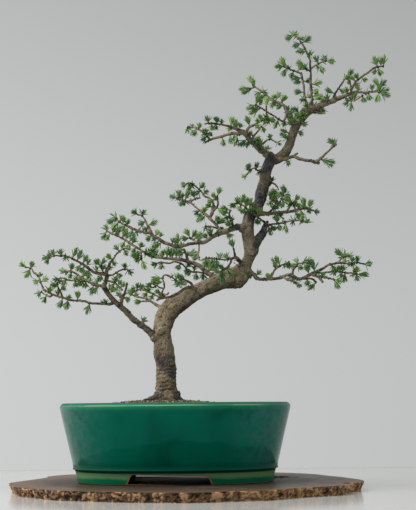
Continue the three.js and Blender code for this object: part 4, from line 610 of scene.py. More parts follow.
def mark(mesh: bpy.types.Mesh, name: str, values: float | np.ndarray) -> None:
    """Writes a number to each vertex of a mesh, for its material to read.

    Args:
        mesh: The mesh.
        name: The attribute's name.
        values: One number for all of it, or one for each vertex.
    """
    layer = mesh.attributes.get(name) or mesh.attributes.new(name, "FLOAT", "POINT")
    layer.data.foreach_set("value", np.broadcast_to(values, len(mesh.vertices)).astype(np.float32))


def read(mesh: bpy.types.Mesh, name: str) -> np.ndarray:
    """The numbers that mark wrote to a mesh.

    Args:
        mesh: The mesh.
        name: The attribute's name.

    Returns:
        One number for each vertex.
    """
    values = np.zeros(len(mesh.vertices), np.float32)
    mesh.attributes[name].data.foreach_get("value", values)
    return values


def smooth(piece: Piece, degrees: float = 180) -> Piece:
    """Shades a piece smooth, but for its edges that are sharper than an angle.

    Args:
        piece: The piece.
        degrees: The angle; at 180 every edge is smooth.

    Returns:
        The same piece.
    """
    take(piece)
    if degrees < 180:
        bpy.ops.object.shade_smooth_by_angle(angle=math.radians(degrees))
    else:
        bpy.ops.object.shade_smooth()
    return piece


def raised(name: str, rings: Sequence[np.ndarray]) -> Piece:
    """A closed form: a disc with the outline of the first ring, extruded from ring to ring.

    Args:
        name: The piece's name.
        rings: The rings in millimetres, bottom first, counterclockwise from above.

    Returns:
        The piece, with flat ends.
    """
    count = len(rings[0])
    bpy.ops.mesh.primitive_circle_add(vertices=count, radius=1, fill_type="NGON")
    piece = fresh(name)
    with editing(piece) as mesh:
        order = {v.index: round(math.atan2(v.co.y, v.co.x) / TAU * count) % count for v in mesh().verts}
        for v in mesh().verts:
            v.co = rings[0][order[v.index]] * MM
        places = {v.co.to_tuple(): order[v.index] for v in mesh().verts}
        for ring in rings[1:]:
            bpy.ops.mesh.extrude_region_move()
            moved = {}
            for v in mesh().verts:
                if v.select:
                    k = places[v.co.to_tuple()]
                    v.co = ring[k] * MM
                    moved[v.co.to_tuple()] = k
            places = moved
        close_outwards()
    return piece


def painted(piece: Piece, *materials: Material) -> Piece:
    """Gives a piece its materials, the first of which covers what no face asks for.

    Args:
        piece: The piece.
        materials: The materials.

    Returns:
        The same piece.
    """
    piece.data.materials.clear()
    for material in materials:
        piece.data.materials.append(material)
    return piece


def paint_faces(piece: Piece, index: int, wanted: Callable[[Vector, Vector], bool]) -> None:
    """Gives some faces of a piece one of its materials.

    Args:
        piece: The piece.
        index: The material's place in its list.
        wanted: A test of a face's centre in millimetres and its normal.
    """
    for face in piece.data.polygons:
        if wanted(face.center / MM, face.normal):
            face.material_index = index


def shown(piece: Piece, slot: Slot, *nodes: str) -> None:
    """Lets a finished piece ride on the frame, and reports it.

    Args:
        piece: The piece.
        slot: The record's slot for its finish; not used.
        nodes: The CAD nodes that it stands for.
    """
    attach(piece, "root")
    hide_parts(*nodes)
    piece.data.calc_loop_triangles()
    LOG.info("%s: %d triangles", piece.name, len(piece.data.loop_triangles))


# --- Shaders ---


class Signal:
    """A number or colour that varies over a surface, with arithmetic that adds Math nodes."""

    def __init__(self, shader: "Shader", socket: bpy.types.NodeSocket) -> None:
        """Wraps an output socket of one of a shader's nodes."""
        self.shader, self.socket = shader, socket

    def _math(self, operation: str, *terms: "Signal | float") -> "Signal":
        """A Math node over one, two or three terms."""
        return self.shader.signal("Math", {"operation": operation}, dict(enumerate(terms)))

    def __add__(self, other: "Signal | float") -> "Signal":
        """The sum."""
        return self._math("ADD", self, other)

    def __sub__(self, other: "Signal | float") -> "Signal":
        """The difference."""
        return self._math("SUBTRACT", self, other)

    def __rsub__(self, other: float) -> "Signal":
        """The difference, from a plain number."""
        return self._math("SUBTRACT", other, self)

    def __mul__(self, other: "Signal | float") -> "Signal":
        """The product."""
        return self._math("MULTIPLY", self, other)

    def __truediv__(self, other: float) -> "Signal":
        """The quotient."""
        return self._math("DIVIDE", self, other)

    def __pow__(self, other: float) -> "Signal":
        """The power."""
        return self._math("POWER", self, other)

    def __abs__(self) -> "Signal":
        """The size, without the sign."""
        return self._math("ABSOLUTE", self)

    __radd__, __rmul__ = __add__, __mul__

    def wave(self) -> "Signal":
        """A wave from 0 to 1 that runs on with the signal, in radians."""
        return self._math("SINE", self) * 0.5 + 0.5

    def between(self, low: float, high: float) -> "Signal":
        """Rises smoothly from 0 at one value to 1 at another, and stays there beyond them."""
        sockets = {"Value": self, "From Min": low, "From Max": high}
        return self.shader.signal("MapRange", {"interpolation_type": "SMOOTHSTEP"}, sockets)


class Shader:
    """The node tree of a material or of the world, in the making."""

    def __init__(self, owner: Material | bpy.types.World, space: str = "Object") -> None:
        """Starts a tree.

        Args:
            owner: What it belongs to.
            space: The coordinates that its patterns lie in.
        """
        owner.use_nodes = True
        self.owner, self.tree = owner, owner.node_tree
        self.tree.nodes.clear()
        self.place = self.signal("TexCoord", {}, {}, space)

    @classmethod
    def named(cls, name: str) -> "Shader":
        """Starts the tree of a new material."""
        return cls(bpy.data.materials.new(name))

    def node(self, kind: str, settings: Mapping[str, Any], sockets: Mapping[Any, Any]) -> bpy.types.Node:
        """Adds a node.

        Args:
            kind: Its type, without ShaderNode.
            settings: Its settings; stops are those of a ramp, each a position and a colour.
            sockets: The values or signals of its inputs, by name or number.

        Returns:
            The node.
        """
        made = self.tree.nodes.new("ShaderNode" + kind)
        for key, value in settings.items():
            if key == "stops":
                while len(made.color_ramp.elements) < len(value):
                    made.color_ramp.elements.new(1)
                for element, (position, colour) in zip(made.color_ramp.elements, value):
                    element.position, element.color = position, (*colour, 1)
            else:
                setattr(made, key, value)
        for key, value in sockets.items():
            if isinstance(value, Signal):
                self.tree.links.new(value.socket, made.inputs[key])
            else:
                wide = isinstance(value, tuple) and made.inputs[key].type == "RGBA"
                made.inputs[key].default_value = (*value, 1) if wide else value
        return made

    def signal(self, kind: str, settings: Mapping[str, Any], sockets: Mapping[Any, Any],
               out: int | str = 0) -> Signal:
        """Adds a node, as node does, and gives one of its outputs."""
        return Signal(self, self.node(kind, settings, sockets).outputs[out])

    def stretched(self, x: float, y: float, z: float) -> Signal:
        """Object coordinates, scaled along each axis."""
        return self.signal("Mapping", {}, {"Vector": self.place, "Scale": (x, y, z)})

    def grain(self, size: float, detail: float = 3, rough: float = 0.55,
              where: Signal | None = None) -> Signal:
        """Noise from 0 to 1.

        Args:
            size: The width of its blots in millimetres.
            detail: How many finer octaves it has.
            rough: How strong they are.
            where: Coordinates other than the object's own.

        Returns:
            The noise.
        """
        sockets = {"Vector": where or self.place, "Scale": 1 / (size * MM)}
        return self.signal("TexNoise", {}, sockets | {"Detail": detail, "Roughness": rough})

    def cells(self, size: float, feature: str = "F1") -> Signal:
        """A cell pattern: the distance to each cell's middle, or to its edge."""
        sockets = {"Vector": self.place, "Scale": 1 / (size * MM)}
        return self.signal("TexVoronoi", {"feature": feature}, sockets, "Distance")

    def axis(self, name: str) -> Signal:
        """One of the object's coordinates in millimetres."""
        return self.signal("SeparateXYZ", {}, {"Vector": self.place}, name) / MM

    def oval(self, middle: tuple[float, float], across: float, along: float) -> Signal:
        """The distance from an upright axis, in millimetres, as one number all along an oval round it.

        Args:
            middle: Where the axis stands, along X and Y.
            across: What the square of the distance along X counts for.
            along: What that along Y counts for.

        Returns:
            The distance.
        """
        x, y = self.axis("X") - middle[0], self.axis("Y") - middle[1]
        return (x**2 * across + y**2 * along) ** 0.5

    def mark(self, name: str) -> Signal:
        """A number that the mesh carries."""
        return self.signal("Attribute", {"attribute_name": name}, {}, "Fac")

    def ramp(self, factor: Signal, *stops: tuple[float, Colour]) -> Signal:
        """Colours along a signal from 0 to 1."""
        return self.signal("ValToRGB", {"stops": stops}, {"Fac": factor})

    def mix(self, factor: Signal, first: Signal | Colour, second: Signal | Colour) -> Signal:
        """One colour blended into another."""
        return self.signal("Mix", {"data_type": "RGBA"}, {0: factor, 6: first, 7: second}, 2)

    def coats(self, ground: Signal, *coats: tuple[Signal, Signal | Colour]) -> Signal:
        """A ground colour with coats laid over it in turn.

        Args:
            ground: The colour underneath.
            coats: How thick each coat lies, from 0 to 1, and its colour.

        Returns:
            The colour that shows.
        """
        for thickness, colour in coats:
            ground = self.mix(thickness, ground, colour)
        return ground

    def done(self, colour: Signal, rough: Signal | float, bump: Signal | None = None, depth: float = 0,
             **constants: Any) -> Material:
        """Joins the surface of a material up.

        Args:
            colour: Its base colour.
            rough: Its roughness.
            bump: Its fine relief, from 0 to 1.
            depth: The relief's height in millimetres.
            constants: Sockets of the BSDF that are the same all over, with spaces as underscores.

        Returns:
            The finished material.
        """
        sockets: dict[str, Any] = {"Base Color": colour, "Roughness": rough}
        sockets |= {key.replace("_", " "): value for key, value in constants.items()}
        if bump:
            sockets["Normal"] = self.signal("Bump", {}, {"Height": bump, "Distance": depth * MM})
        bsdf = self.signal("BsdfPrincipled", {}, sockets)
        self.node("OutputMaterial", {}, {"Surface": bsdf})
        return self.owner


# --- Finishes ---


@dataclass(frozen=True)
class Glaze:
    """Deep green glaze: thin and pale where it breaks over the rim, dark where it pools, with a painted
    highlight along the lip, a painted reflection below the rim, and painted shade and reflection low on the
    body.
    """

    rim: float  # the rim's height
    foot: float  # where the foot meets the body
    gate: float  # the middle of the foot's cut-away
    cutaway: tuple[float, float] = (58.2, 0.48)  # half its width with the bare edge, and how that narrows
    deep: Colour = (0.0, 0.062, 0.036)
    clear: Colour = (0.0, 0.102, 0.064)
    # shoulder and thin: paler greens of a painted reflection of light in the band below the rim
    shoulder: Colour = (0.004, 0.110, 0.058)
    thin: Colour = (0.030, 0.175, 0.095)
    sheen: Colour = (0.12, 0.9, 0.75)
    haze: Colour = (0.044, 0.112, 0.116)
    # broken: pale green for the painted highlight along the rim's lip; bare: tan where the glaze breaks over
    # it
    broken: Colour = (0.28, 0.42, 0.24)
    bare: Colour = (0.36, 0.34, 0.17)
    # Dark green of glaze pooled low on the body, also used for painted shade under the lip and a painted
    # reflection of the slab
    pooled_and_shaded: Colour = (0.0, 0.040, 0.021)
    foot_pale: Colour = (0.118, 0.218, 0.096)
    foot_deep: Colour = (0.0, 0.110, 0.045)
    clay: Colour = (0.270, 0.130, 0.055)

    def material(self) -> Material:
        """Builds the material."""
        s, rim, foot = Shader.named("pot_glaze"), self.rim, self.foot
        x, z, drift = s.axis("X"), s.axis("Z"), s.grain(26, 2)
        side = abs(x - self.gate)
        runs = s.grain(9, 3, 0.6, s.stretched(1, 1, 0.12))
        cloud = (s.grain(70, 2) * 0.85 + runs * 0.15).between(0.35, 0.62)
        hazy = side.between(62, 138) * s.grain(11, 4).between(0.35, 0.62)
        # thin: the band just below the rim's line, where a painted reflection of light lies
        thin = (z + drift * 2).between(rim - 9.5, rim - 6) * z.between(rim - 2.6, rim - 3.6)
        under = s.mix((z + drift * 5).between(foot - 4.5, foot), self.foot_deep, self.foot_pale)
        body = s.coats(
            s.mix(cloud, self.deep, self.clear),
            # Paler towards the rim and in a band just below it: painted reflection of light
            ((z + drift * 9).between(rim - 10, rim + 3), self.shoulder),
            (x.between(-60, -130) * 0.5, self.deep),
            (hazy * 0.6, self.haze),
            (thin * 0.3, self.thin),
            # Darker low on the body: glaze pooled there, with a painted reflection of the dark slab and
            # painted shade under the lip
            ((z + runs * 4).between(foot + 21, foot + 5) * 0.75, self.pooled_and_shaded),
            (z.between(foot + 14, foot + 6) * 0.8, self.pooled_and_shaded),
            (z.between(foot + 5.4, foot + 4.4), s.mix(z.between(foot + 0.5, foot + 2.5), under, self.pooled_and_shaded)),
            (z.between(rim - 2.1, rim - 1.3) * 0.6, self.deep),
        )
        # The line along the rim's lip: tan at the ends where the glaze breaks over the edge, and pale green
        # towards the middle as a painted highlight
        edge = z + runs * 1.2
        line = edge.between(rim - 3.8, rim - 3.2) * edge.between(rim - 2.1, rim - 2.7)
        line *= 0.16 + side.between(60, 20) * 0.5 + s.grain(55, 2).between(0.5, 0.62) * 0.34
        half, slope = self.cutaway
        bare = (side + z * slope - half - drift).between(2.2, 1.2) * z.between(foot, foot - 1)
        colour = s.coats(body, (line, s.mix(side.between(90, 30), self.bare, self.broken)), (bare, self.clay))
        worn = z.between(rim - 6.5, rim - 4) * (0.26 + x.between(-20, -90) * 0.34)
        rough = 0.045 + worn + z.between(foot + 13, foot + 9) * 0.35 + line * 0.14 + runs * 0.05 + bare * 0.6
        ripple = s.grain(13, 2) * 0.8 + s.grain(1.4, 1) * 0.05
        return s.done(colour, rough, ripple, 0.22, IOR=1.38, Specular_Tint=self.sheen)


@dataclass(frozen=True)
class RawClay:
    """Unglazed stoneware: the underside, the foot's edge and the faces of its cut-outs."""

    pale: Colour = (0.42, 0.22, 0.11)
    burnt: Colour = (0.20, 0.085, 0.035)
    iron: Colour = (0.05, 0.03, 0.02)

    def material(self) -> Material:
        """Builds the material."""
        s = Shader.named("raw_clay")
        specks = s.cells(2.2).between(0.12, 0.02)
        colour = s.coats(s.mix(s.grain(7), self.pale, self.burnt), (specks * 0.5, self.iron))
        return s.done(colour, 0.82, s.grain(0.8), 0.15)


@dataclass(frozen=True)
class Bark:
    """Larch bark: pale plates, dark between them, with blackish patches; painted paler on the side facing the
    light and darker away from it, with painted shade in the furrows and higher up the trunk.
    """

    plate: Colour = (0.270, 0.220, 0.143)
    pale: Colour = (0.350, 0.280, 0.178)
    shade: Colour = (0.120, 0.092, 0.060)
    rust: Colour = (0.160, 0.092, 0.055)
    # crown: painted shade that darkens the trunk higher up
    crown: Colour = (0.062, 0.050, 0.038)
    damp: Colour = (0.078, 0.084, 0.044)
    # Dark bark in furrows and pits, also laid on as painted shade in the furrows and on the side away from
    # the light
    dark_bark_and_shade: Colour = (0.026, 0.020, 0.015)
    # The colour of the blackish patches on the trunk
    blackish_patch: Colour = (0.017, 0.019, 0.024)

    def material(self) -> Material:
        """Builds the material; the trunk's mesh carries its relief, its stains and how lit it is."""
        s = Shader.named("larch_bark")
        x, z, lit, relief = s.axis("X"), s.axis("Z"), s.mark("lit"), s.mark("relief")
        fine = s.grain(1.7, 4, 0.65)
        # The lit mark is painted light: the ground colour is paler where the bark faces the light
        patches = (s.grain(9) * 0.7 + fine * 0.3 + lit * 0.16 - 0.08).between(0.36, 0.62)
        bend = z.between(178, 200) * z.between(264, 244) * x.between(34, 14)
        mossy = x.between(24, 50) * (1.1 - lit * 0.5) * s.grain(11, 3).between(0.25, 0.6)
        flecks = s.grain(2.6, 3).between(0.56, 0.66) * z.between(230, 300)
        stain = (s.mark("stain") + fine * 0.6 + relief * 0.2).between(0.34, 0.95)
        black = s.mix((z + fine * 8).between(134, 126), self.blackish_patch, self.dark_bark_and_shade)
        colour = s.coats(
            s.mix(patches, self.shade, self.plate),
            # Painted highlight: pale on the lit side of the bend
            (bend * lit.between(0.3, 0.8) * s.grain(6).between(0.3, 0.6) * 0.75, self.pale),
            (s.grain(5, 2).between(0.58, 0.74) * 0.7, self.rust),
            (mossy * 0.8, self.damp),
            # Darker higher up the trunk: painted shade
            ((z + s.grain(30) * 90).between(320, 440) * 0.6, self.crown),
            # Darker in the low relief: dark bark in the furrows, with painted shade there
            ((relief + fine * 0.7).between(0.28, -0.32) * 0.72, self.dark_bark_and_shade),
            (s.grain(24, 2).between(0.52, 0.7) * 0.45, self.shade),
            (z.between(205, 170) * 0.35, self.shade),
            (s.grain(3.6, 3).between(0.58, 0.68) * 0.6, self.dark_bark_and_shade),
            # Painted shade on the side turned away from the light
            (lit.between(0.46, 0.14) * 0.72, self.dark_bark_and_shade),
            (flecks * 0.5, self.pale),
            (stain * (0.74 + z.between(200, 300) * 0.2), black),
            ((z + fine * 5).between(125.5, 121.5) * 0.75, self.dark_bark_and_shade),
        )
        bump = fine * 0.6 + s.cells(3.4, "DISTANCE_TO_EDGE").between(0, 0.25) * 0.4
        return s.done(colour, 0.88 - stain * 0.25, bump, 0.7, Specular_IOR_Level=0.3)


@dataclass(frozen=True)
class Twig:
    """Larch twigs: orange-tan while they are thin, barky as they thicken, black at the old spurs."""

    young: Colour = (0.300, 0.168, 0.076)
    grown: Colour = (0.138, 0.105, 0.062)
    old: Colour = (0.150, 0.125, 0.082)
    dark: Colour = (0.017, 0.014, 0.013)

    def material(self) -> Material:
        """Builds the material; the mesh carries the twig's girth, and where it is a spur."""
        s = Shader.named("larch_twig")
        fine, girth = s.grain(1.3, 4, 0.65), s.mark("girth")
        stops = (0.10, self.young), (0.28, self.grown), (0.62, self.old)
        wood = s.ramp(girth * 0.2 + fine * 0.12 - 0.05, *stops)
        aged = (s.grain(7, 2) + fine * 0.5 - girth * 0.012).between(0.68, 0.84)
        spur = s.mark("spur").between(0.2, 0.8) * (1 - fine * 0.35)
        colour = s.coats(wood, (aged * 0.85, self.dark), (spur, self.dark))
        return s.done(colour, 0.8, fine, 0.35, Specular_IOR_Level=0.35)


@dataclass(frozen=True)
class Needles:
    """Spring needles: bluish when full grown, yellow-green when new, paler at the foot."""

    deep: Colour = (0.056, 0.134, 0.052)
    green: Colour = (0.122, 0.228, 0.058)
    fresh: Colour = (0.200, 0.318, 0.074)
    sprout: Colour = (0.300, 0.405, 0.110)

    def material(self) -> Material:
        """Builds the material; the mesh carries each needle's tint, and how far along it a point lies."""
        s = Shader.named("larch_needle")
        along = s.mark("along")
        stops = (0.05, self.deep), (0.42, self.green), (0.75, self.fresh), (1.0, self.sprout)
        ends = (along.between(0.45, 0) * 0.55, self.fresh), (along.between(0.86, 1.0) * 0.35, self.sprout)
        return s.done(s.coats(s.ramp(s.mark("tint"), *stops), *ends), 0.46, Specular_IOR_Level=0.4)


@dataclass(frozen=True)
class SoilMix:
    """Moist bonsai soil: lava, fired clay and pumice grains over dark fines."""

    fines: Colour = (0.022, 0.014, 0.010)
    lava: Colour = (0.036, 0.027, 0.020)
    brown: Colour = (0.085, 0.060, 0.036)
    fired: Colour = (0.230, 0.125, 0.055)
    pumice: Colour = (0.420, 0.340, 0.230)
    moss: Colour = (0.170, 0.190, 0.040)

    def bed(self) -> Material:
        """Builds the material of the soil under the grains."""
        s = Shader.named("soil_fines")
        return s.done(s.mix(s.grain(3), self.fines, self.lava), 0.95, s.grain(1.5), 1.0)

    def grains(self) -> Material:
        """Builds the material of the loose grains; each carries its tint and whether it is mossy."""
        s = Shader.named("soil_grain")
        stops = (0.0, self.lava), (0.4, self.brown), (0.78, self.fired), (0.96, self.pumice)
        dirt = s.grain(1.1).between(0.4, 0.75) * 0.6, self.fines
        moss = s.mark("moss") * s.grain(2.2).between(0.35, 0.6), self.moss
        return s.done(s.coats(s.ramp(s.mark("tint"), *stops), dirt, moss), 0.9, s.grain(0.7), 0.3)


@dataclass(frozen=True)
class SlabWood:
    """A slice of an old trunk: oiled end grain on top, weathered bark round the edge; painted shade and
    highlight on the bark, and a painted shadow and reflection of the pot on top.
    """

    face: Colour = (0.072, 0.047, 0.032)
    ring: Colour = (0.022, 0.014, 0.010)
    worn: Colour = (0.125, 0.094, 0.070)
    tan: Colour = (0.430, 0.262, 0.135)
    cork: Colour = (0.130, 0.068, 0.036)
    gold: Colour = (0.270, 0.145, 0.062)
    # The dark of cracks and pits, also laid on as painted shade in the bark's low parts, inside the hollow
    # and round the pot
    pit_and_shade: Colour = (0.014, 0.011, 0.010)
    heart: Spot = (22, 14)  # the middle of the growth rings, on the ground
    hollow: Spot = (136, 72)  # the middle of the hollow, painted dark inside as shade

    def top(self) -> Material:
        """Builds the material of the sawn faces, darkened round and under the pot by its painted shadow and
        reflection.
        """
        s = Shader.named("slab_end_grain")
        reach = s.oval(self.heart, 1, 1.25) + s.grain(60, 3) * 26
        rings = (reach * 1.55 + s.grain(14) * 5).wave()
        checks = s.grain(3.4, 3, 0.6, s.stretched(0.14, 1, 1)).between(0.54, 0.64)
        # damp: a painted shadow and reflection of the pot, darkest near its foot
        under_pot = s.oval((0, 0), 0.55, 1)
        damp = under_pot.between(155, 84) * 0.5 + under_pot.between(84, 74) * 0.4
        colour = s.coats(
            s.mix(rings * 0.55 + (reach * 0.23).wave() * 0.3, self.face, self.ring),
            (s.grain(22, 4).between(0.5, 0.75) * 0.7, self.worn),
            (checks * 0.8, self.pit_and_shade),
            (reach.between(196, 232) * 0.5, self.cork),
            (damp, self.pit_and_shade),
        )
        bump = rings * 0.4 + s.grain(1.2) * 0.3 - checks * 0.5
        return s.done(colour, 0.3 + s.grain(9) * 0.2 + damp * 0.35, bump, 0.2, Specular_IOR_Level=0.2)

    def bark(self) -> Material:
        """Builds the material of the bark edge; the mesh carries its relief. Its low parts are painted dark
        as shade, and its high parts tan, the bark's own colour with a painted highlight.
        """
        s = Shader.named("slab_bark")
        x, fine = s.axis("X"), s.grain(2.2, 4, 0.65)
        height = s.mark("relief") * 0.22 + s.grain(8, 2) * 0.6 + s.grain(3.8, 3, 0.6) * 1.0 - 0.8
        golden = x.between(-40, 150) * s.grain(22, 2).between(0.3, 0.55)
        raised = height + x.between(-90, 60) * 0.10
        colour = s.coats(
            # Painted shade in the low parts; tan on the high parts, partly the bark's colour and partly a
            # painted highlight
            s.mix(raised.between(-0.14, 0.0), self.pit_and_shade, s.mix(golden * 0.85, self.cork, self.gold)),
            (raised.between(0.06, 0.2) * 0.9, self.tan),
            (x.between(-201, -207) * 0.6, self.tan),
            (s.grain(16, 2).between(0.55, 0.75) * 0.4, self.cork),
            (s.oval(self.hollow, 0.4, 1).between(44, 36), self.pit_and_shade),
        )
        return s.done(colour, 0.9, fine * 0.5 + height.between(-0.14, 0.1), 1.0, Specular_IOR_Level=0.25)


@dataclass(frozen=True)
class Fitting:
    """The black plastic mesh and the soft wire under the soil."""

    plastic: Colour = (0.018, 0.018, 0.018)
    dust: Colour = (0.05, 0.045, 0.04)
    wire: Colour = (0.42, 0.27, 0.17)
    dull: Colour = (0.25, 0.16, 0.10)

    def mesh(self) -> Material:
        """Builds the plastic's material."""
        s = Shader.named("drain_plastic")
        return s.done(s.mix(s.grain(3), self.plastic, self.dust), 0.5, s.grain(0.6), 0.05)

    def metal(self) -> Material:
        """Builds the wire's material."""
        s = Shader.named("anodised_wire")
        colour = s.mix(s.grain(4), self.wire, self.dull)
        return s.done(colour, 0.34 + s.grain(2) * 0.2, s.grain(0.5), 0.03, Metallic=1.0)


# --- How the tree grows ---


def random_from(seed: int) -> Iterator[float]:
    """The same numbers from 0 to 1 each time that it starts from a seed.

    Args:
        seed: The seed.

    Yields:
        The next number.
    """
    state = seed
    while True:
        state = state * 16807 % 2147483647
        yield state / 2147483647


@dataclass
class Tuft:
    """Where a tuft of needles stands."""

    branch: str  # the branch's name
    base: Vector  # the point of the twig's axis that it grows from
    root: Vector  # where its needles part
    axis: Vector  # which way it points
    along: Vector  # which way the twig runs there, to its tip
    centre: Vector  # its middle
    roll: float  # how far it is turned about its axis
    size: float  # how long its needles are, against the pattern's
    kept: bool  # whether it stands clear enough of its neighbours to be in the CAD solid too

    def sibling(self, back: float, tilt: float) -> "Tuft":
        """A tuft further back along the same twig, and tilted round it.

        Args:
            back: How far back, in millimetres.
            tilt: By what angle.

        Returns:
            The new tuft.
        """
        shift, turn = self.along * -back, Matrix.Rotation(tilt, 3, self.along)
        root = self.base + shift + turn @ (self.root - self.base)
        return replace(self, base=self.base + shift, root=root, axis=turn @ self.axis)

    def matrix(self, wide: float = 1, long: float = 1) -> Matrix:
        """Where a pattern that stands on the origin along Z goes, scaled across and along.

        Args:
            wide: The scale across.
            long: The scale along.

        Returns:
            The matrix, in metres.
        """
        side = Vector((self.axis.z, self.axis.x, self.axis.y)).cross(self.axis).normalized()
        up = self.axis.cross(side)
        turn = Matrix((side, up, self.axis)).transposed().to_4x4() @ Matrix.Rotation(self.roll, 4, "Z")
        return Matrix.Translation(self.root * MM) @ turn @ Matrix.Diagonal((wide, wide, long, 1))


@dataclass
class Growth:
    """Stands each tuft on its twig, clear of the other branches."""

    branches: Mapping[str, Limbs]  # with the trunk first
    reach: float = 5.6  # from the twig's skin to a tuft's middle
    stem: float = 0.6  # the length of the bare shoot under a tuft's needles
    least_lean: float = 1.5  # how far to the front or back a tuft's middle is from its twig, at least
    further: tuple[float, ...] = (0, 6, 11)  # how much further out it tries, where that isn't clear
    slant: float = 0.4  # how much of its slant to the front or back its needles keep
    lift: float = 0.05  # how much they turn upwards
    sizes: tuple[float, float] = (0.72, 1.12)  # how long needles are, against the pattern's: from and to
    radius: float = 8  # of the ball that holds a tuft
    spacing: float = 12.5  # the least distance between two tufts of a branch in the CAD solid
    front_share: float = 0.6  # how many of the tufts lean to the front
    golden: float = 0.618  # the share of a turn from a tuft that the solid hasn't got to the next
    tufts: list[Tuft] = field(default_factory=list)

    @staticmethod
    def segments(routes: Iterable[Route]) -> tuple[np.ndarray, np.ndarray]:
        """The starts and ends of all the straight stretches of some routes, with their radii."""
        pairs = [pair for route in routes for pair in zip(route, route[1:])]
        return tuple(np.array(pairs, float).transpose(1, 0, 2))

    @staticmethod
    def from_front(routes: Iterable[Route], spot: Spot) -> tuple[Vector, float, Vector]:
        """Finds the point of the wood that looks nearest to a spot from the front.

        Args:
            routes: The wood.
            spot: The spot.

        Returns:
            The point, the wood's radius there, and the way it runs.
        """
        starts, ends = Growth.segments(routes)
        step = ends - starts
        flat, gap = step[:, (0, 2)], np.array(spot) - starts[:, (0, 2)]
        length = (flat**2).sum(1)
        along = np.clip((gap * flat).sum(1) / np.where(length == 0, 1, length), 0, 1)
        points = starts + step * along[:, None]
        best = np.hypot(*(np.array(spot) - points[:, (0, 2)]).T).argmin()
        return Vector(points[best, :3]), float(points[best, 3]), Vector(step[best, :3]).normalized()

    @staticmethod
    def gap(wood: tuple[np.ndarray, np.ndarray], point: Vector) -> float:
        """How far a point is from the skin of some wood, given as its stretches.

        Args:
            wood: The stretches, as segments gives them.
            point: The point.

        Returns:
            The distance in millimetres.
        """
        starts, ends = wood[0][:, :3], wood[1][:, :3]
        step = ends - starts
        length = (step**2).sum(1)
        along = ((np.array(point) - starts) * step).sum(1) / np.where(length == 0, 1, length)
        nearest = starts + step * np.clip(along, 0, 1)[:, None]
        return float((np.linalg.norm(nearest - np.array(point), axis=1) - wood[0][:, 3]).min())

    def grow(self) -> None:
        """Places all the tufts, with random numbers that start afresh for each spot."""
        for number, (name, (wood, spots)) in enumerate(self.branches.items()):
            rest = [routes for other, (routes, _) in self.branches.items() if other != name]
            others = self.segments(route for routes in rest for route in routes)
            for spot_number, spot in enumerate(spots):
                draw = random_from(1000 * (number + 1) + spot_number + 1)
                next(draw)
                front = -1 if next(draw) < self.front_share else 1
                base, radius, along = self.from_front(wood, spot)
                across = math.hypot(spot[0] - base.x, spot[1] - base.z)
                lean = math.sqrt(max((radius + self.reach) ** 2 - across**2, self.least_lean**2))
                sides = [side * (lean + more) for more in self.further for side in (front, -front)]
                centres = [Vector((spot[0], base.y + side, spot[1])) for side in sides]
                centre = next((c for c in centres if self.is_clear(name, c, others)), None)
                kept = centre is not None and not self.is_near(name, centre, True, self.spacing)
                centre = centre or centres[0]
                axis = (centre - base).normalized()
                axis = Vector((axis.x, axis.y * self.slant, axis.z + self.lift)).normalized()
                roll = TAU * (next(draw) if kept else spot_number * self.golden % 1)
                root = base + axis * (radius + self.stem)
                size = min(max((across - radius) / self.reach, self.sizes[0]), self.sizes[1])
                self.tufts.append(Tuft(name, base, root, axis, along, centre, roll, size, kept))

    def is_near(self, name: str, centre: Vector, own: bool, least: float) -> bool:
        """Whether a placed tuft of the branch, or of the other branches, is nearer than that."""
        placed = (t for t in self.tufts if t.kept and (t.branch == name) == own)
        return any((t.centre - centre).length < least for t in placed)

    def is_clear(self, name: str, centre: Vector, others: tuple[np.ndarray, np.ndarray]) -> bool:
        """Whether a tuft there meets no other branch and none of its tufts."""
        touches = self.is_near(name, centre, False, 2 * self.radius)
        return not touches and self.gap(others, centre) > self.radius


def smooth_weights(t: float | np.ndarray) -> tuple[float | np.ndarray, ...]:
    """Twice the weights of four points in a row, on a smooth curve from the second to the third."""
    return -t + 2 * t**2 - t**3, 2 - 5 * t**2 + 3 * t**3, t + 4 * t**2 - 3 * t**3, t**3 - t**2


@dataclass
class Line:
    """A smooth line through the points of a route, as rings close together."""

    route: Route
    step: float  # the distance between two rings in millimetres
    knobs: float = 0.0  # how much the radius swells and shrinks along the line
    wander: float = 0.0  # how far the line strays from the route, in millimetres
    seed: int = 1  # where its random numbers start

    def rings(self) -> np.ndarray:
        """The middles and radii of the rings, one to a row."""
        points = np.array(self.route, float)
        padded = np.vstack((2 * points[0] - points[1], points, 2 * points[-1] - points[-2]))
        padded[(0, -1), 3] = points[(0, -1), 3]
        rows = []
        for four in zip(padded, padded[1:], padded[2:], padded[3:]):
            count = max(1, round(float(np.linalg.norm(four[2][:3] - four[1][:3])) / self.step))
            for t in np.arange(count) / count:
                rows.append(sum(w * p for w, p in zip(smooth_weights(t), four)) / 2)
        line, random = np.array([*rows, points[-1]]), Random(self.seed)
        for k in range(1, len(line)):
            swell = noise.noise((k * self.step / 3.1, self.seed * 7.3, 0.5))
            line[k, 3] *= 1 + self.knobs * (1.6 * swell + 0.35 * random.uniform(-1, 1))
            drift = [noise.noise((k * self.step / 5, self.seed, 3 * axis)) for axis in range(3)]
            line[k, :3] += self.wander * np.array(drift)
        return line


def nearest_to(places: np.ndarray, points: np.ndarray) -> np.ndarray:
    """Which of some places is the nearest to each point, by its number.

    Args:
        places: The places, one to a row.
        points: The points, one to a row.

    Returns:
        A place's number for each point.
    """
    tree = KDTree(len(places))
    for number, place in enumerate(places):
        tree.insert(place, number)
    tree.balance()
    return np.array([tree.find(point)[1] for point in points.tolist()])


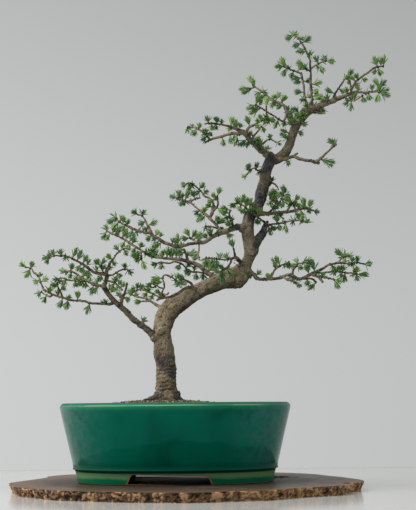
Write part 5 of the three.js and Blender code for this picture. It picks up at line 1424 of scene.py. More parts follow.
def tubes(name: str, lines: Sequence[np.ndarray], roundness: int) -> Piece:
    """Round tapering limbs along rows of rings.

    Args:
        name: The piece's name.
        lines: The rings of each limb: middles and radii in millimetres.
        roundness: The curve's bevel resolution; 2 makes 8 sides, and each step 2 more.

    Returns:
        One piece that holds all the limbs, each closed at both ends.
    """
    bpy.ops.curve.primitive_bezier_curve_add()
    curve = fresh(name).data
    curve.splines.clear()
    curve.dimensions, curve.twist_mode = "3D", "MINIMUM"
    curve.bevel_depth, curve.bevel_resolution, curve.use_fill_caps = MM, roundness, True
    for line in lines:
        spline = curve.splines.new("POLY")
        spline.points.add(len(line) - 1)
        spline.points.foreach_set("co", np.c_[line[:, :3] * MM, np.ones(len(line))].ravel())
        spline.points.foreach_set("radius", line[:, 3])
    bpy.ops.object.convert(target="MESH")
    return fresh(name)


# --- The slab, the pot and the soil ---


def field_of(points: np.ndarray, size: Sequence[float], seed: float = 0) -> np.ndarray:
    """Smooth noise at each point, from about -1 to 1.

    Args:
        points: The points, one to a row.
        size: The width of a blot along each axis.
        seed: Where in the noise the pattern starts.

    Returns:
        One number for each point.
    """
    scaled = points / np.array(size, float) + seed
    return np.array([noise.noise(p) for p in scaled.tolist()]) * 1.7


@dataclass
class Slab:
    """The slice of wood that everything stands on."""

    height: float = 12
    undercut: float = 4  # how far its bark slopes in on the way down
    around: int = 900  # how many points its outline has
    relief: float = 3.6  # how deep the furrows of the bark are
    # The drying cracks and the hollow, each as points with half its width there
    cracks: tuple[Route, ...] = (
        ((252, 22.5, 0, 1.6), (232, 18, 0, 1.4), (216, 16, 0, 1.5), (198, 15, 0, 1.0), (184, 14, 0, 1.1),
         (168, 11, 0, 0.7), (152, 8, 0, 0.2)),
        ((219, -56, 0, 1.8), (210, -60, 0, 1.2), (200, -63, 0, 1.0), (188, -67, 0, 0.2)),
        ((110, 74, 0, 20), (126, 73, 0, 25), (140, 72, 0, 24), (149, 71, 0, 14), (153, 69, 0, 5),
         (167, 66, 0, 3)),
    )
    crack_depth: float = 7

    def outline(self) -> np.ndarray:
        """The outline as evenly spaced points, counterclockwise."""
        corners = np.array(SLAB_OUTLINE[::-1], float)
        four = [np.roll(corners, -shift, axis=0) for shift in (-1, 0, 1, 2)]
        weights = smooth_weights(np.linspace(0, 1, 40, endpoint=False)[:, None, None])
        dense = (sum(w * p for w, p in zip(weights, four)) / 2).transpose(1, 0, 2).reshape(-1, 2)
        closed = np.vstack((dense, dense[:1]))
        length = np.r_[0, np.linalg.norm(np.diff(closed, axis=0), axis=1).cumsum()]
        at = np.linspace(0, length[-1], self.around, endpoint=False)
        return np.c_[np.interp(at, length, closed[:, 0]), np.interp(at, length, closed[:, 1])]

    def ring(self, outline: np.ndarray, inset: float, z: float) -> np.ndarray:
        """The outline drawn in by a distance, at a height."""
        shrink = 1 - inset / np.linalg.norm(outline, axis=1, keepdims=True)
        return np.c_[outline * shrink, np.full(len(outline), z)]

    def build(self) -> None:
        """Builds the slab."""
        outline, top, wood = self.outline(), self.height, SlabWood()
        under = [(60, 0), (20, 0), (self.undercut + 5, 0)]
        edge = [(self.undercut * max(0, 1 - z / 9) + 0.4, z) for z in np.linspace(0, top - 0.8, 12)]
        flat = [(1.2, top - 0.2), (2.6, top), (9, top), (40, top)]
        slab = raised("bark_edged_slab", [self.ring(outline, *level) for level in (*under, *edge, *flat)])
        self.furrow(slab)
        self.crack(slab)
        painted(slab, wood.bark(), wood.top())
        paint_faces(slab, 1, lambda centre, normal: abs(normal.z) > 0.9 and not 0.2 < centre.z < top - 0.5)
        shown(smooth(slab, 50), Slot.SLAB, "slab")

    def furrow(self, slab: Piece) -> None:
        """Works the bark into the slab's edge, and marks its relief.

        Args:
            slab: The slab.
        """
        points, normals = points_of(slab), normals_of(slab)
        reach = np.linalg.norm(points[:, :2], axis=1, keepdims=True)
        rim = np.clip(1 - (np.abs(points[:, 2] - 5.5) / 6.2) ** 6, 0, 1)
        rim *= np.linalg.norm(normals[:, :2], axis=1) > 0.25
        furrows = 1 - 2 * np.abs(field_of(points, (15, 15, 26)))
        knobs = field_of(points, (7.5, 7.5, 5), 5)
        height = 0.4 * furrows + 0.5 * knobs + 0.4 * field_of(points, (3, 3, 2.2), 9)
        wave = field_of(points, (38, 38, 90), 3) * 0.8
        inward = self.relief * (0.42 - 0.5 * height + 0.25 * wave) * (0.25 + 0.75 * rim)
        points[:, :2] *= 1 - np.clip(inward, -0.2, None)[:, None] * (rim > 0.02)[:, None] / reach
        place_points(slab, points)
        mark(slab.data, "relief", height)

    def crack(self, slab: Piece) -> None:
        """Cuts the drying cracks and the hollow.

        Args:
            slab: The slab.
        """
        cutters = []
        for number, route in enumerate(self.cracks):
            line = Line(route, 2.5, 0.35, 0.9, number + 3).rings()
            side = line[:, 3:] * np.array((0.15, 1.0))
            loop = np.vstack((line[:, :2] - side, (line[:, :2] + side)[::-1]))
            middle = np.vstack((line[:, :2], line[::-1, :2]))
            levels = (0.35, self.height - self.crack_depth), (1, self.height - 1), (1.25, self.height + 1)
            rings = [np.c_[middle + (loop - middle) * wide, np.full(len(loop), z)] for wide, z in levels]
            cutters.append(raised(f"crack_{number}", rings))
        cut(slab, cutters)


@dataclass
class Pot:
    """The oval glazed pot with a foot ring that is cut away at the front and back."""

    length: float = 303  # across the rim from left to right, outside
    depth: float = 225  # across the rim from front to back
    roundness: float = 2.25  # the oval's exponent: 2 is an ellipse, and more is boxier
    rim: float = 114  # the rim's height
    shoulder: float = 107  # where the rim starts to round over
    body_bottom: float = 35  # where the straight wall starts
    taper: float = 17.6  # how much narrower the body is there, each side
    foot_bottom: float = 12.3  # the foot's lower edge, a hair above the slab
    foot_top: float = 25  # where the foot meets the body
    foot_inset: float = 23.5  # the foot's outer edge, in from the rim's
    foot_width: float = 9
    wall: float = 8  # the wall's thickness
    floor: float = 33  # the height of the floor inside
    underside: float = 25.4
    gate: tuple[float, float, float] = (-5.5, 103.5, 92)  # the cut-away's middle, and its width at the
    # bottom and the top
    drain: tuple[float, float] = (124, 10)  # how far the drain holes stand apart, and their radius
    wire_hole: tuple[float, float, float] = (60, 56, 2.2)  # how far apart along and across, and the radius
    around: int = 208  # how many points each ring has

    def wall_inset(self, z: float) -> float:
        """How far in from the rim the wall's outside is at a height."""
        return self.taper * (self.shoulder - z) / (self.shoulder - self.body_bottom)

    def ring(self, inset: float, z: float, around: int = 0) -> np.ndarray:
        """The pot's oval drawn in by a distance, at a height.

        Args:
            inset: The distance.
            z: The height.
            around: How many points it has, or 0 for the pot's own number.

        Returns:
            The points, one to a row.
        """
        angle = np.arange(around or self.around) * TAU / (around or self.around)
        x, y = (np.sign(v) * np.abs(v) ** (2 / self.roundness) for v in (np.cos(angle), np.sin(angle)))
        return np.c_[(self.length / 2 - inset) * x, (self.depth / 2 - inset) * y, np.full(len(angle), z)]

    def is_within(self, x: float, y: float, inset: float) -> bool:
        """Whether a place lies in the oval that is drawn in by a distance."""
        across, along = abs(x) / (self.length / 2 - inset), abs(y) / (self.depth / 2 - inset)
        return across**self.roundness + along**self.roundness <= 1

    def profile(self) -> list[tuple[float, float]]:
        """The inset and height of each ring, from the underside round the outside to the floor."""
        out, low, wall, base = self.foot_inset, self.foot_bottom, self.wall_inset, self.underside
        inner, middle, top, deep = out + self.foot_width, self.depth * 0.4, self.rim, self.floor
        foot = [(inner + 3, base), (inner + 0.8, base - 0.6), (inner, base - 2.5), (inner, low + 1.2),
                (inner - 0.3, low + 0.4), (inner - 1.1, low), (out + 2, low), (out + 0.9, low + 0.3),
                (out + 0.2, low + 1.1), (out - 0.1, low + 2.4), (out - 1.2, low + 8),
                (out - 1.9, self.foot_top - 0.8), (out - 2.3, self.foot_top)]
        lip = [(out - 2.7, 27.2), (out - 3.3, 28.6), (19.4, 29.1), (18.2, 29.4), (17.6, 29.9), (17.45, 30.4),
               (17.75, 31.2), (18.1, 32.8)]
        sides = [(wall(z), z) for z in (36.5, 43, 51, 60, 70, 82, 93, 101, 105)]
        rim = [(0.0, top - 7), (0.05, top - 5.8), (0.35, top - 4.2), (1.1, top - 2.7), (2.2, top - 1.4),
               (3.6, top - 0.4), (5.0, top), (6.3, top - 0.3), (7.4, top - 1.2), (8.1, top - 2.6),
               (8.6, top - 4.6)]
        inside = [(self.wall + wall(z), z) for z in (100, 80, 60, deep + 8)]
        floor = [(self.wall + wall(deep) + 2.2, deep + 2.5), (self.wall + wall(deep) + 7, deep)]
        return [(middle, base), *foot, *lip, *sides, *rim, *inside, *floor, (middle, deep)]

    def build(self) -> None:
        """Builds the pot."""
        pot = raised("oval_pot", [self.ring(*level) for level in self.profile()])
        cut(pot, [self.gateway(), *self.holes()])
        with editing(pot, select=False) as mesh:
            low = (self.underside + 0.6) * MM
            pick_edges(mesh(), lambda edge: edge.calc_face_angle(0) > 0.85 and edge.verts[0].co.z < low)
            bpy.ops.mesh.bevel(offset=0.7 * MM, segments=2, affect="EDGES", clamp_overlap=True)
        painted(pot, Glaze(self.rim, self.foot_top, self.gate[0]).material(), RawClay().material())
        paint_faces(pot, 1, self.is_bare)
        shown(smooth(pot, 40), Slot.GLAZE, "pot")

    def gateway(self) -> Piece:
        """What is cut out of the foot from front to back: an arch with slanting, hollow sides."""
        middle, bottom, top = self.gate
        low, steps = self.foot_bottom - 1, np.linspace(0, 1, 7)
        half = bottom / 2 + 1 - (bottom / 2 + 1 - top / 2) * (steps * 0.55 + steps**2 * 0.45)
        side = np.c_[half, np.zeros(7), low + steps * (self.underside - low)]
        loop = np.vstack((side, (side * (-1, 1, 1))[::-1])) + (middle, 0, 0)
        front, back = (loop + (0, y, 0) for y in (-self.depth / 2, self.depth / 2))
        return raised("gate", [front[::-1], back[::-1]])

    def holes(self) -> list[Piece]:
        """What is cut out of the floor: the drains, and the holes for the wires that tie the tree down."""
        spots = [(end.value * self.drain[0] / 2, 0, self.drain[1]) for end in End]
        along, across, radius = self.wire_hole
        spots += [(end.value * along / 2, row * across / 2, radius) for end in End for row in (-1, 1)]
        cutters = []
        for x, y, radius in spots:
            bpy.ops.mesh.primitive_cylinder_add(vertices=40, radius=radius * MM, depth=14 * MM,
                                                location=(x * MM, y * MM, 28.5 * MM))
            bpy.ops.object.transform_apply(location=True)
            cutters.append(fresh("hole"))
        return cutters

    def is_bare(self, centre: Vector, normal: Vector) -> bool:
        """Whether the glaze stops short of a face, by its centre and normal.

        Args:
            centre: The centre in millimetres.
            normal: The normal.

        Returns:
            Whether it does.
        """
        inset = self.foot_inset + self.foot_width * 0.7
        if centre.z > self.floor - 1:
            inset = self.wall_inset(centre.z) + self.wall / 2
        in_gate = abs(centre.x - self.gate[0]) < self.gate[1] / 2 + 0.8 and abs(normal.x) > 0.55
        under = normal.z < -0.6 and centre.z < self.underside + 0.2
        inner = self.is_within(centre.x, centre.y, inset) and centre.z < self.rim - 16
        return (in_gate and centre.z < self.underside) or under or inner


@dataclass
class DrainFittings:
    """The plastic mesh over each drain hole, and the wire that holds it."""

    pot: Pot
    side: float = 34  # the mesh's width
    bars: int = 9  # how many bars it has each way
    bar: float = 1.1  # the width of a bar
    thickness: float = 1
    gap: float = 0.3  # the air under it
    leg: float = 8  # from the hole's middle out to the wire's legs
    foot: float = 16  # from there out to the ends that are bent out under the pot
    wire: float = 0.75  # the wire's radius

    def build(self) -> None:
        """Builds the fittings of both drains."""
        fitting = Fitting()
        plastic, metal = fitting.mesh(), fitting.metal()
        for end in End:
            x, name = end.value * self.pot.drain[0] / 2, end.name.lower()
            shown(painted(self.screen(x, f"screen_{name}"), plastic), Slot.PLASTIC, f"drain_screen_{name}")
            shown(painted(self.clip(x, f"wire_{name}"), metal), Slot.WIRE, f"screen_wire_{name}")

    def screen(self, x: float, name: str) -> Piece:
        """The mesh over the drain at x: bevelled bars laid across each other.

        Args:
            x: Where the drain is.
            name: The piece's name.

        Returns:
            The mesh.
        """
        bpy.ops.mesh.primitive_cube_add(size=1)
        pattern = fresh("bar")
        pattern.scale = (self.side * MM, self.bar * MM, self.thickness * MM)
        bpy.ops.object.transform_apply(scale=True)
        with editing(pattern):
            bpy.ops.mesh.bevel(offset=0.25 * MM, segments=2, affect="EDGES")
        z, bars = self.pot.floor + self.gap + self.thickness / 2, []
        for k in range(self.bars):
            off = (k / (self.bars - 1) - 0.5) * (self.side - self.bar)
            bars.append(copy_of(pattern, Matrix.Translation(Vector((x, off, z)) * MM)))
            turned = Matrix.Translation(Vector((x + off, 0, z)) * MM) @ Matrix.Rotation(math.pi / 2, 4, "Z")
            bars.append(copy_of(pattern, turned))
        drop(pattern)
        return smooth(joined(bars, name), 40)

    def clip(self, x: float, name: str) -> Piece:
        """The wire over the mesh: slantwise across it, down the hole and out under the pot.

        Args:
            x: Where the drain is.
            name: The piece's name.

        Returns:
            The wire.
        """
        high = self.pot.floor + 2 * self.gap + self.thickness + self.wire
        low = self.pot.underside - self.gap - self.wire
        half = [(0, high), (self.leg - 1.2, high), (self.leg - 0.25, high - 0.4), (self.leg, high - 1.4),
                (self.leg, low + 1.4), (self.leg + 0.4, low + 0.3), (self.leg + 1.4, low), (self.foot, low)]
        route = [(-a, z) for a, z in half[:0:-1]] + half
        slant = math.sqrt(0.5)
        line = np.array([(x + a * slant, a * slant, z, self.wire) for a, z in route])
        return smooth(tubes(name, [line], 4), 60)


@dataclass
class Soil:
    """The soil in the pot, heaped a little round the trunk, with loose grains on top."""

    pot: Pot
    edge: float = 107.5  # its height along the rim
    mound: float = 10  # how much higher it is in the middle
    middle: float = -17  # where the mound is highest, along X
    spread: tuple[float, float] = (85, 70)  # how far the mound reaches along X and Y
    pitch: float = 3.5  # how far apart the grains lie
    row: float = 0.87  # the distance between two rows of them, against that
    kinds: int = 6  # how many shapes of grain there are
    trunk: tuple[float, float] = (-10, 15)  # where the trunk stands along X, and its radius there
    moss: tuple[float, float, float, float] = (30, -22, 16, 14)  # the moss's middle, and its reach each way
    seed: int = 23  # where the random numbers start

    def height(self, x: float, y: float) -> float:
        """The height of the soil at a place."""
        reach = math.hypot((x - self.middle) / self.spread[0], y / self.spread[1])
        return self.edge + self.mound * math.exp(-0.9 * reach**3)

    def build(self) -> None:
        """Builds the soil and its grains."""
        mix = SoilMix()
        shown(painted(self.bed(), mix.bed()), Slot.SOIL, "soil")
        shown(painted(self.grains(), mix.grains()), Slot.SOIL)

    def bed(self) -> Piece:
        """The fines that fill the pot."""
        pot, around, low, high = self.pot, 120, self.pot.floor + 0.3, self.edge - 2
        clear = pot.wall + 0.5
        levels = [(pot.depth * 0.4, low), (clear + pot.wall_inset(low) + 8, low),
                  (clear + pot.wall_inset(low + 6), low + 7), (clear + pot.wall_inset(high), high)]
        rings = [pot.ring(*level, around) for level in levels]
        for inset in (13, 19, 27, 36, 46, 57, 69, 82, 94, 104):
            ring = pot.ring(inset, 0, around)
            ring[:, 2] = [self.height(x, y) - 2.4 for x, y, _ in ring]
            ring[:, 2] += 0.7 * field_of(ring, (7, 7, 7))
            rings.append(ring)
        return smooth(raised("soil_bed", rings), 60)

    def grain(self, random: Random) -> Piece:
        """One grain a millimetre in radius: a cube with its corners broken off, and pushed out of true.

        Args:
            random: Where its random numbers come from.

        Returns:
            The grain.
        """
        bpy.ops.mesh.primitive_cube_add(size=1.5 * MM)
        grain = fresh("grain")
        with editing(grain) as mesh:
            bpy.ops.mesh.bevel(offset=0.42 * MM, segments=1, affect="EDGES")
            for v in mesh().verts:
                v.co += Vector([random.uniform(-0.16, 0.16) * MM for _ in range(3)])
        squeeze = Matrix.Diagonal([random.uniform(0.75, 1.2) for _ in range(3)]).to_4x4()
        grain.data.transform(squeeze)
        mark(grain.data, "tint", 0)
        mark(grain.data, "moss", 0)
        return smooth(grain, 35)

    def grains(self) -> Piece:
        """The loose grains over the whole surface, all different in size, turn and colour."""
        random, pot = Random(self.seed), self.pot
        patterns = [self.grain(random) for _ in range(self.kinds)]
        inset = pot.wall + pot.wall_inset(self.edge) + 2.4
        rows = int((pot.depth / 2 - inset) / self.pitch / self.row) + 1
        columns = int((pot.length / 2 - inset) / self.pitch) + 1
        copies = []
        for row in range(-rows, rows + 1):
            for column in range(-columns, columns + 1):
                x = (column + row % 2 / 2 + random.uniform(-0.3, 0.3)) * self.pitch
                y = (row * self.row + random.uniform(-0.3, 0.3)) * self.pitch
                size = random.triangular(1.1, 2.5, 1.6)
                turns = [Matrix.Rotation(random.uniform(0, TAU), 3, axis) for axis in "XYZ"]
                tint, lift = random.random() ** 1.3, random.uniform(-0.35, 0.45)
                if not pot.is_within(x, y, inset) or math.hypot(x - self.trunk[0], y) < self.trunk[1]:
                    continue
                at = Vector((x, y, self.height(x, y) - 1.6 + lift * size)) * MM
                place = Matrix.LocRotScale(at, turns[0] @ turns[1] @ turns[2], Vector((size,) * 3))
                moss = float(self.mossiness(x, y) > random.uniform(0.15, 1))
                copies.append(copy_of(patterns[random.randrange(self.kinds)], place, tint=tint, moss=moss))
        drop(*patterns)
        return joined(copies, "soil_grains")

    def mossiness(self, x: float, y: float) -> float:
        """How likely a grain at a place is to be mossy."""
        middle_x, middle_y, along, across = self.moss
        return math.exp(-(((x - middle_x) / along) ** 2 + ((y - middle_y) / across) ** 2))


# --- The tree ---


@dataclass
class Foliage:
    """The patterns that every branch copies: needles in tufts, and the short shoots under them."""

    kinds: int = 6  # how many tufts are modelled
    bundles: int = 9  # how many bundles of needles each holds
    count: int = 3  # how many needles are in a bundle
    length: float = 12.4  # of a needle
    width: float = 1.35  # of a needle
    bends: tuple[float, ...] = (-0.3, 0.05, 0.4)  # by what angles needles are bent
    golden: float = 2.39996  # the turn from each bundle to the next
    half_grown: float = 0.42  # how many tufts have a smaller one beside them
    knobbly: float = 0.13  # how many rings of a limb bear a bare spur
    thick: float = 4.5  # the radius from which a limb bears none
    young: tuple[float, float] = (235, 60)  # from where along X they get younger, and over how far
    seed: int = 71  # where the random numbers start

    def __post_init__(self) -> None:
        """Models the patterns and their finishes."""
        self.random = Random(self.seed)
        self.green, self.bark = Needles().material(), Twig().material()
        self.strands = [self.strand(bend) for bend in self.bends]
        self.patterns = [self.tuft() for _ in range(self.kinds)]
        self.shoot = self.short_shoot()

    def strand(self, bend: float) -> Piece:
        """One needle along Z, flat and tapered, and bent by an angle on its way to the tip.

        Args:
            bend: The angle.

        Returns:
            The needle.
        """
        bpy.ops.mesh.primitive_circle_add(vertices=4, radius=self.width / 2 * MM, fill_type="NGON")
        strand = fresh("needle")
        with editing(strand):
            bpy.ops.transform.resize(value=(0.5, 0.8, 1))
            for reach, girth in ((0.34, 1.3), (0.38, 0.95), (0.28, 0.35)):
                lift = (0, 0, reach * self.length * MM)
                bpy.ops.mesh.extrude_region_move(TRANSFORM_OT_translate={"value": lift})
                bpy.ops.transform.resize(value=(girth, girth, 1))
                bpy.ops.transform.rotate(value=bend / 3, orient_axis="Y", center_override=(0, 0, 0))
            close_outwards()
        mark(strand.data, "along", points_of(strand)[:, 2] / self.length)
        mark(strand.data, "tint", 0)
        return smooth(strand, 70)

    def tuft(self) -> Piece:
        """One tuft of needles on the origin, opening along Z."""
        draw, copies = self.random, []
        for k in range(self.bundles * self.count):
            bundle = k // self.count
            share = (bundle + 0.6 * draw.random()) / self.bundles
            splay = 0.05 + 0.54 * share**0.8 + draw.gauss(0, 0.05)
            turn = bundle * self.golden + draw.gauss(0, 0.16)
            long = draw.uniform(0.8, 1.06) * (1.02 - 0.1 * share)
            place = Matrix.Rotation(turn, 4, "Z") @ Matrix.Rotation(splay, 4, "Y")
            place @= Matrix.Translation((0, 0, 0.35 * MM)) @ Matrix.Rotation(draw.uniform(-0.6, 0.6), 4, "Z")
            place @= Matrix.Diagonal((1, 1, long, 1))
            strand = self.strands[draw.randrange(len(self.strands))]
            copies.append(copy_of(strand, place, tint=draw.gauss(0, 0.1)))
        return joined(copies, "tuft")

    def short_shoot(self) -> Piece:
        """The ringed spur under a tuft, down from the origin."""
        profile = (0.9, -3.4), (0.95, -2.1), (1.25, -1.6), (1.1, -1.2), (1.35, -0.7), (1.2, -0.1), (0.6, 0.35)
        turn = np.arange(8) * TAU / 8
        rings = [np.c_[r * np.cos(turn), r * np.sin(turn), np.full(8, z)] for r, z in profile]
        shoot = smooth(raised("short_shoot", rings), 60)
        mark(shoot.data, "girth", 1.0)
        mark(shoot.data, "spur", 1.0)
        return shoot

    def needles(self, tufts: Sequence[Tuft], name: str) -> Piece:
        """The needles of some tufts as one piece of that name, with half-grown tufts beside some.

        Args:
            tufts: The tufts.
            name: The piece's name.

        Returns:
            The piece.
        """
        draw, copies = self.random, []
        small = [(t, 0.8) for t in tufts if t.along.length > 0 and draw.random() < self.half_grown]
        small = [(t.sibling(draw.uniform(3.5, 7), draw.gauss(0, 1)), size) for t, size in small]
        for tuft, size in [(t, 1.0) for t in tufts] + small:
            young = min(max((tuft.centre.x - self.young[0]) / self.young[1], 0), 1)
            drift = noise.noise(tuft.centre / 34) * 0.35
            tint = 0.32 + drift + draw.gauss(0, 0.13) + 0.2 * young
            wide = size * draw.uniform(0.86, 1.12)
            long = tuft.size * (draw.uniform(0.88, 1.06) + 0.15 * young)
            pattern = self.patterns[draw.randrange(self.kinds)]
            copies.append(copy_of(pattern, tuft.matrix(wide, size * long), tint=tint))
        return painted(joined(copies, name), self.green)

    def spurs(self, tufts: Sequence[Tuft]) -> list[Piece]:
        """The short shoots of some tufts."""
        return [copy_of(self.shoot, tuft.matrix()) for tuft in tufts]

    def knobs(self, line: np.ndarray) -> list[Piece]:
        """Bare old spurs here and there along a limb, given as its rings.

        Args:
            line: The rings.

        Returns:
            The spurs.
        """
        draw, copies = self.random, []
        for k in range(3, len(line) - 2):
            if line[k, 3] > self.thick or draw.random() > self.knobbly:
                continue
            along = Vector(line[k + 1, :3] - line[k - 1, :3]).normalized()
            around = Vector([draw.uniform(-1, 1) for _ in range(3)])
            out = (around - along * around.dot(along)).normalized()
            wide = draw.uniform(0.5, 0.9)
            spot = Vector(line[k, :3]) + out * (line[k, 3] + draw.uniform(0.3, 1.0))
            place = Matrix.Translation(spot * MM) @ out.to_track_quat("Z", "Y").to_matrix().to_4x4()
            copies.append(copy_of(self.shoot, place @ Matrix.Diagonal((wide, wide, wide * 0.8, 1))))
        return copies

    def clear(self) -> None:
        """Throws the patterns away."""
        drop(*self.strands, *self.patterns, self.shoot)


@dataclass
class Spray:
    """One branch with its twigs and needles."""

    name: str  # the CAD node that it stands for
    routes: Sequence[Route]  # its limbs
    tufts: Sequence[Tuft]
    foliage: Foliage
    step: float = 1.3  # the distance between two rings of a limb
    bark: float = 0.22  # how much thicker a limb is than its route says

    def build(self) -> None:
        """Builds the branch."""
        shown(self.wood(), Slot.SPRAY, self.name)
        shown(self.foliage.needles(self.tufts, f"{self.name}_needles"), Slot.SPRAY, self.name)

    def wood(self) -> Piece:
        """The limbs, knobbly, with the spurs on them."""
        lines = [Line(route, self.step, 0.11, 0.5, k + 1).rings() for k, route in enumerate(self.routes)]
        for line in lines:
            line[:, 3] += self.bark
        limbs = tubes(f"{self.name}_limbs", lines, 3)
        points, rings = points_of(limbs), np.vstack(lines)
        girth = rings[nearest_to(rings[:, :3], points), 3]
        rough = field_of(points, (2.4, 2.4, 2.4), 3) * 0.13 + field_of(points, (6, 6, 6), 8) * 0.1
        place_points(limbs, points + normals_of(limbs) * (rough * girth**0.7)[:, None])
        mark(limbs.data, "girth", girth)
        mark(limbs.data, "spur", 0)
        parts = [smooth(limbs), *self.foliage.spurs(self.tufts)]
        parts += [knob for line in lines for knob in self.foliage.knobs(line)]
        return painted(joined(parts, f"{self.name}_wood"), self.foliage.bark)


@dataclass
class Trunk:
    """The trunk with its broken stub, its healed cuts, the collars of its branches and its roots."""

    branches: Sequence[Sequence[Route]]  # the limbs of each branch
    tufts: Sequence[Tuft]  # those that grow straight from the trunk
    foliage: Foliage
    voxel: float = 0.84  # the width of the grid on which the limbs melt into one
    ground: float = 118  # where the soil meets it
    ringed: tuple[float, float] = (121, 163)  # the heights between which the bark is wrinkled into rings
    painted_light_way: tuple[float, float, float] = (-0.49, -0.35, 0.8)  # which way the painted light on the bark comes from: faces turned to it are painted paler, faces turned away darker

    def __post_init__(self) -> None:
        """Runs the trunk's middle line, and carries a frame along it."""
        self.line = Line(TRUNK, 1.0).rings()
        ahead = np.gradient(self.line[:, :3], axis=0)
        self.ahead = ahead / np.linalg.norm(ahead, axis=1, keepdims=True)
        side, sides = np.array((1.0, 0.0, 0.0)), []
        for way in self.ahead:
            side = side - way * (side @ way)
            side /= np.linalg.norm(side)
            sides.append(side)
        self.side = np.array(sides)
        self.up = np.cross(self.ahead, self.side)

    def build(self) -> None:
        """Builds the trunk and its few needles."""
        limbs = [self.line, Line(STUB, 1.0, 0.06, 0.4, 9).rings(), *self.collars()]
        limbs += [Line(route, 1.2, 0.12, 1.2, k + 11).rings() for k, route in enumerate(ROOTS)]
        limbs += [Line(route, 1.2).rings() for route in STRANDS]
        parts = [tubes("trunk_limbs", limbs, 14)]
        for x, y, z, radius in KNOTS:
            place = x * MM, y * MM, z * MM
            bpy.ops.mesh.primitive_ico_sphere_add(subdivisions=3, radius=radius * 0.9 * MM, location=place)
            bpy.ops.object.transform_apply(location=True)
            parts.append(fresh("knot"))
        trunk = joined(parts, "trunk_wood")
        apply(trunk, "REMESH", mode="VOXEL", voxel_size=self.voxel * MM)
        apply(trunk, "SMOOTH", iterations=5, factor=0.5)
        self.carve(trunk)
        shown(smooth(painted(trunk, Bark().material())), Slot.BARK, "trunk")
        spurs = painted(joined(self.foliage.spurs(self.tufts), "trunk_spurs"), self.foliage.bark)
        shown(spurs, Slot.SPRAY, "trunk")
        shown(self.foliage.needles(self.tufts, "trunk_needles"), Slot.SPRAY, "trunk")

    def collars(self) -> list[np.ndarray]:
        """The swellings where branches leave the trunk."""
        found = []
        for seat, beyond, *_ in (route for routes in self.branches for route in routes):
            middle, tip = np.array(seat[:3]), np.array(beyond[:3])
            gaps = np.linalg.norm(self.line[:, :3] - middle, axis=1)
            k = int(gaps.argmin())
            start, thick = self.line[k, :3], self.line[k, 3]
            if gaps[k] > thick * 1.25:
                continue
            out = (middle - start) / max(np.linalg.norm(middle - start), 0.01)
            skin, radius = start + out * thick, min(seat[3] * 1.45, thick * 0.8)
            points = (*start, radius), (*skin, radius * 0.95), (*(skin * 0.4 + tip * 0.6), beyond[3] * 0.85)
            found.append(Line(points, 1.0).rings())
        return found

    def carve(self, trunk: Piece) -> None:
        """Works the bark into the trunk's skin, and marks its relief, its stains and how lit it is.

        Args:
            trunk: The trunk.
        """
        points, normals = points_of(trunk), normals_of(trunk)
        near = nearest_to(self.line[:, :3], points)
        out = points - self.line[near, :3]
        across, upward = (out * self.side[near]).sum(1), (out * self.up[near]).sum(1)
        turn, radius, z = np.arctan2(upward, across), self.line[near, 3], points[:, 2]
        along = near + (out * self.ahead[near]).sum(1)
        bark = np.c_[radius * np.cos(turn), radius * np.sin(turn), along]

        flare = 0.025 + 0.05 * np.exp(-np.maximum(z - self.ground, 0) / 16)
        swell = radius * flare * (np.sin(5 * turn + 0.6) + 0.6 * np.sin(3 * turn + z / 31))
        gnarl = field_of(bark, (13, 13, 17), 4) * radius * 0.07
        thick = np.clip(radius / 12, 0.35, 1.1)
        plates = self.plates(bark, (4.6, 4.6, 7.5))
        flakes = self.plates(bark + 40, (2.3, 2.3, 2.9))
        lumps = field_of(bark, (3.6, 3.6, 4.6), 2)
        grit = field_of(bark, (1.5, 1.5, 1.9), 6)
        low, high = self.ringed
        belt = np.clip(np.minimum(z - low, high - z) / 6, 0, 1) * (radius > 12)
        waves = np.sin((along + 2.2 * field_of(bark, (9, 9, 14), 7)) * TAU / 5.4)
        relief = 0.42 * plates + 0.42 * flakes + 0.34 * lumps + 0.22 * grit - 0.5
        depth = swell + gnarl + relief * 0.85 * thick + belt * waves * 0.42 + self.cuts(points)
        place_points(trunk, points + normals * depth[:, None])
        mark(trunk.data, "relief", relief + belt * waves * 0.4)
        mark(trunk.data, "stain", self.stains(points))
        mark(trunk.data, "lit", (1 + normals @ np.array(self.painted_light_way)) / 2)

    @staticmethod
    def plates(points: np.ndarray, size: Sequence[float]) -> np.ndarray:
        """A pattern of cells of a size at each point: 0 in the cracks between them, and 1 on them.

        Args:
            points: The points, one to a row.
            size: How wide a cell is.

        Returns:
            One number for each point.
        """
        scaled = points / np.array(size, float)
        warp = np.array([noise.noise_vector(p) for p in (scaled * 0.9).tolist()]) * 0.5
        gaps = [noise.voronoi(p)[0] for p in (scaled + warp).tolist()]
        edge = np.clip(np.array([far - close for close, far, *_ in gaps]) / 0.34, 0, 1)
        return edge * edge * (3 - 2 * edge)

    @staticmethod
    def cuts(points: np.ndarray) -> np.ndarray:
        """The healed cuts: a rolled lip round a hollow, at the front of each knot.

        Args:
            points: The points of the skin, one to a row.

        Returns:
            How far each of them is raised.
        """
        depth = np.zeros(len(points))
        for x, y, z, radius in KNOTS:
            reach = np.linalg.norm(points - (x, y - radius * 0.75, z), axis=1) / radius
            lip, hollow = np.exp(-(((reach - 0.75) / 0.28) ** 2)), np.exp(-((reach / 0.42) ** 2))
            depth += radius * (0.14 * lip - 0.2 * hollow)
        return depth

    @staticmethod
    def stains(points: np.ndarray) -> np.ndarray:
        """How far each point lies in a blackish patch, from 0 to 1.

        Args:
            points: The points, one to a row.

        Returns:
            One number for each point.
        """
        stain = np.zeros(len(points))
        drift = field_of(points, (7, 7, 7), 12) * 0.35
        for x, y, z, reach in STAINS:
            gap = np.linalg.norm(points - (x, y, z), axis=1) / reach
            stain = np.maximum(stain, np.clip(1.25 - gap + drift, 0, 1))
        return stain


# --- The studio ---


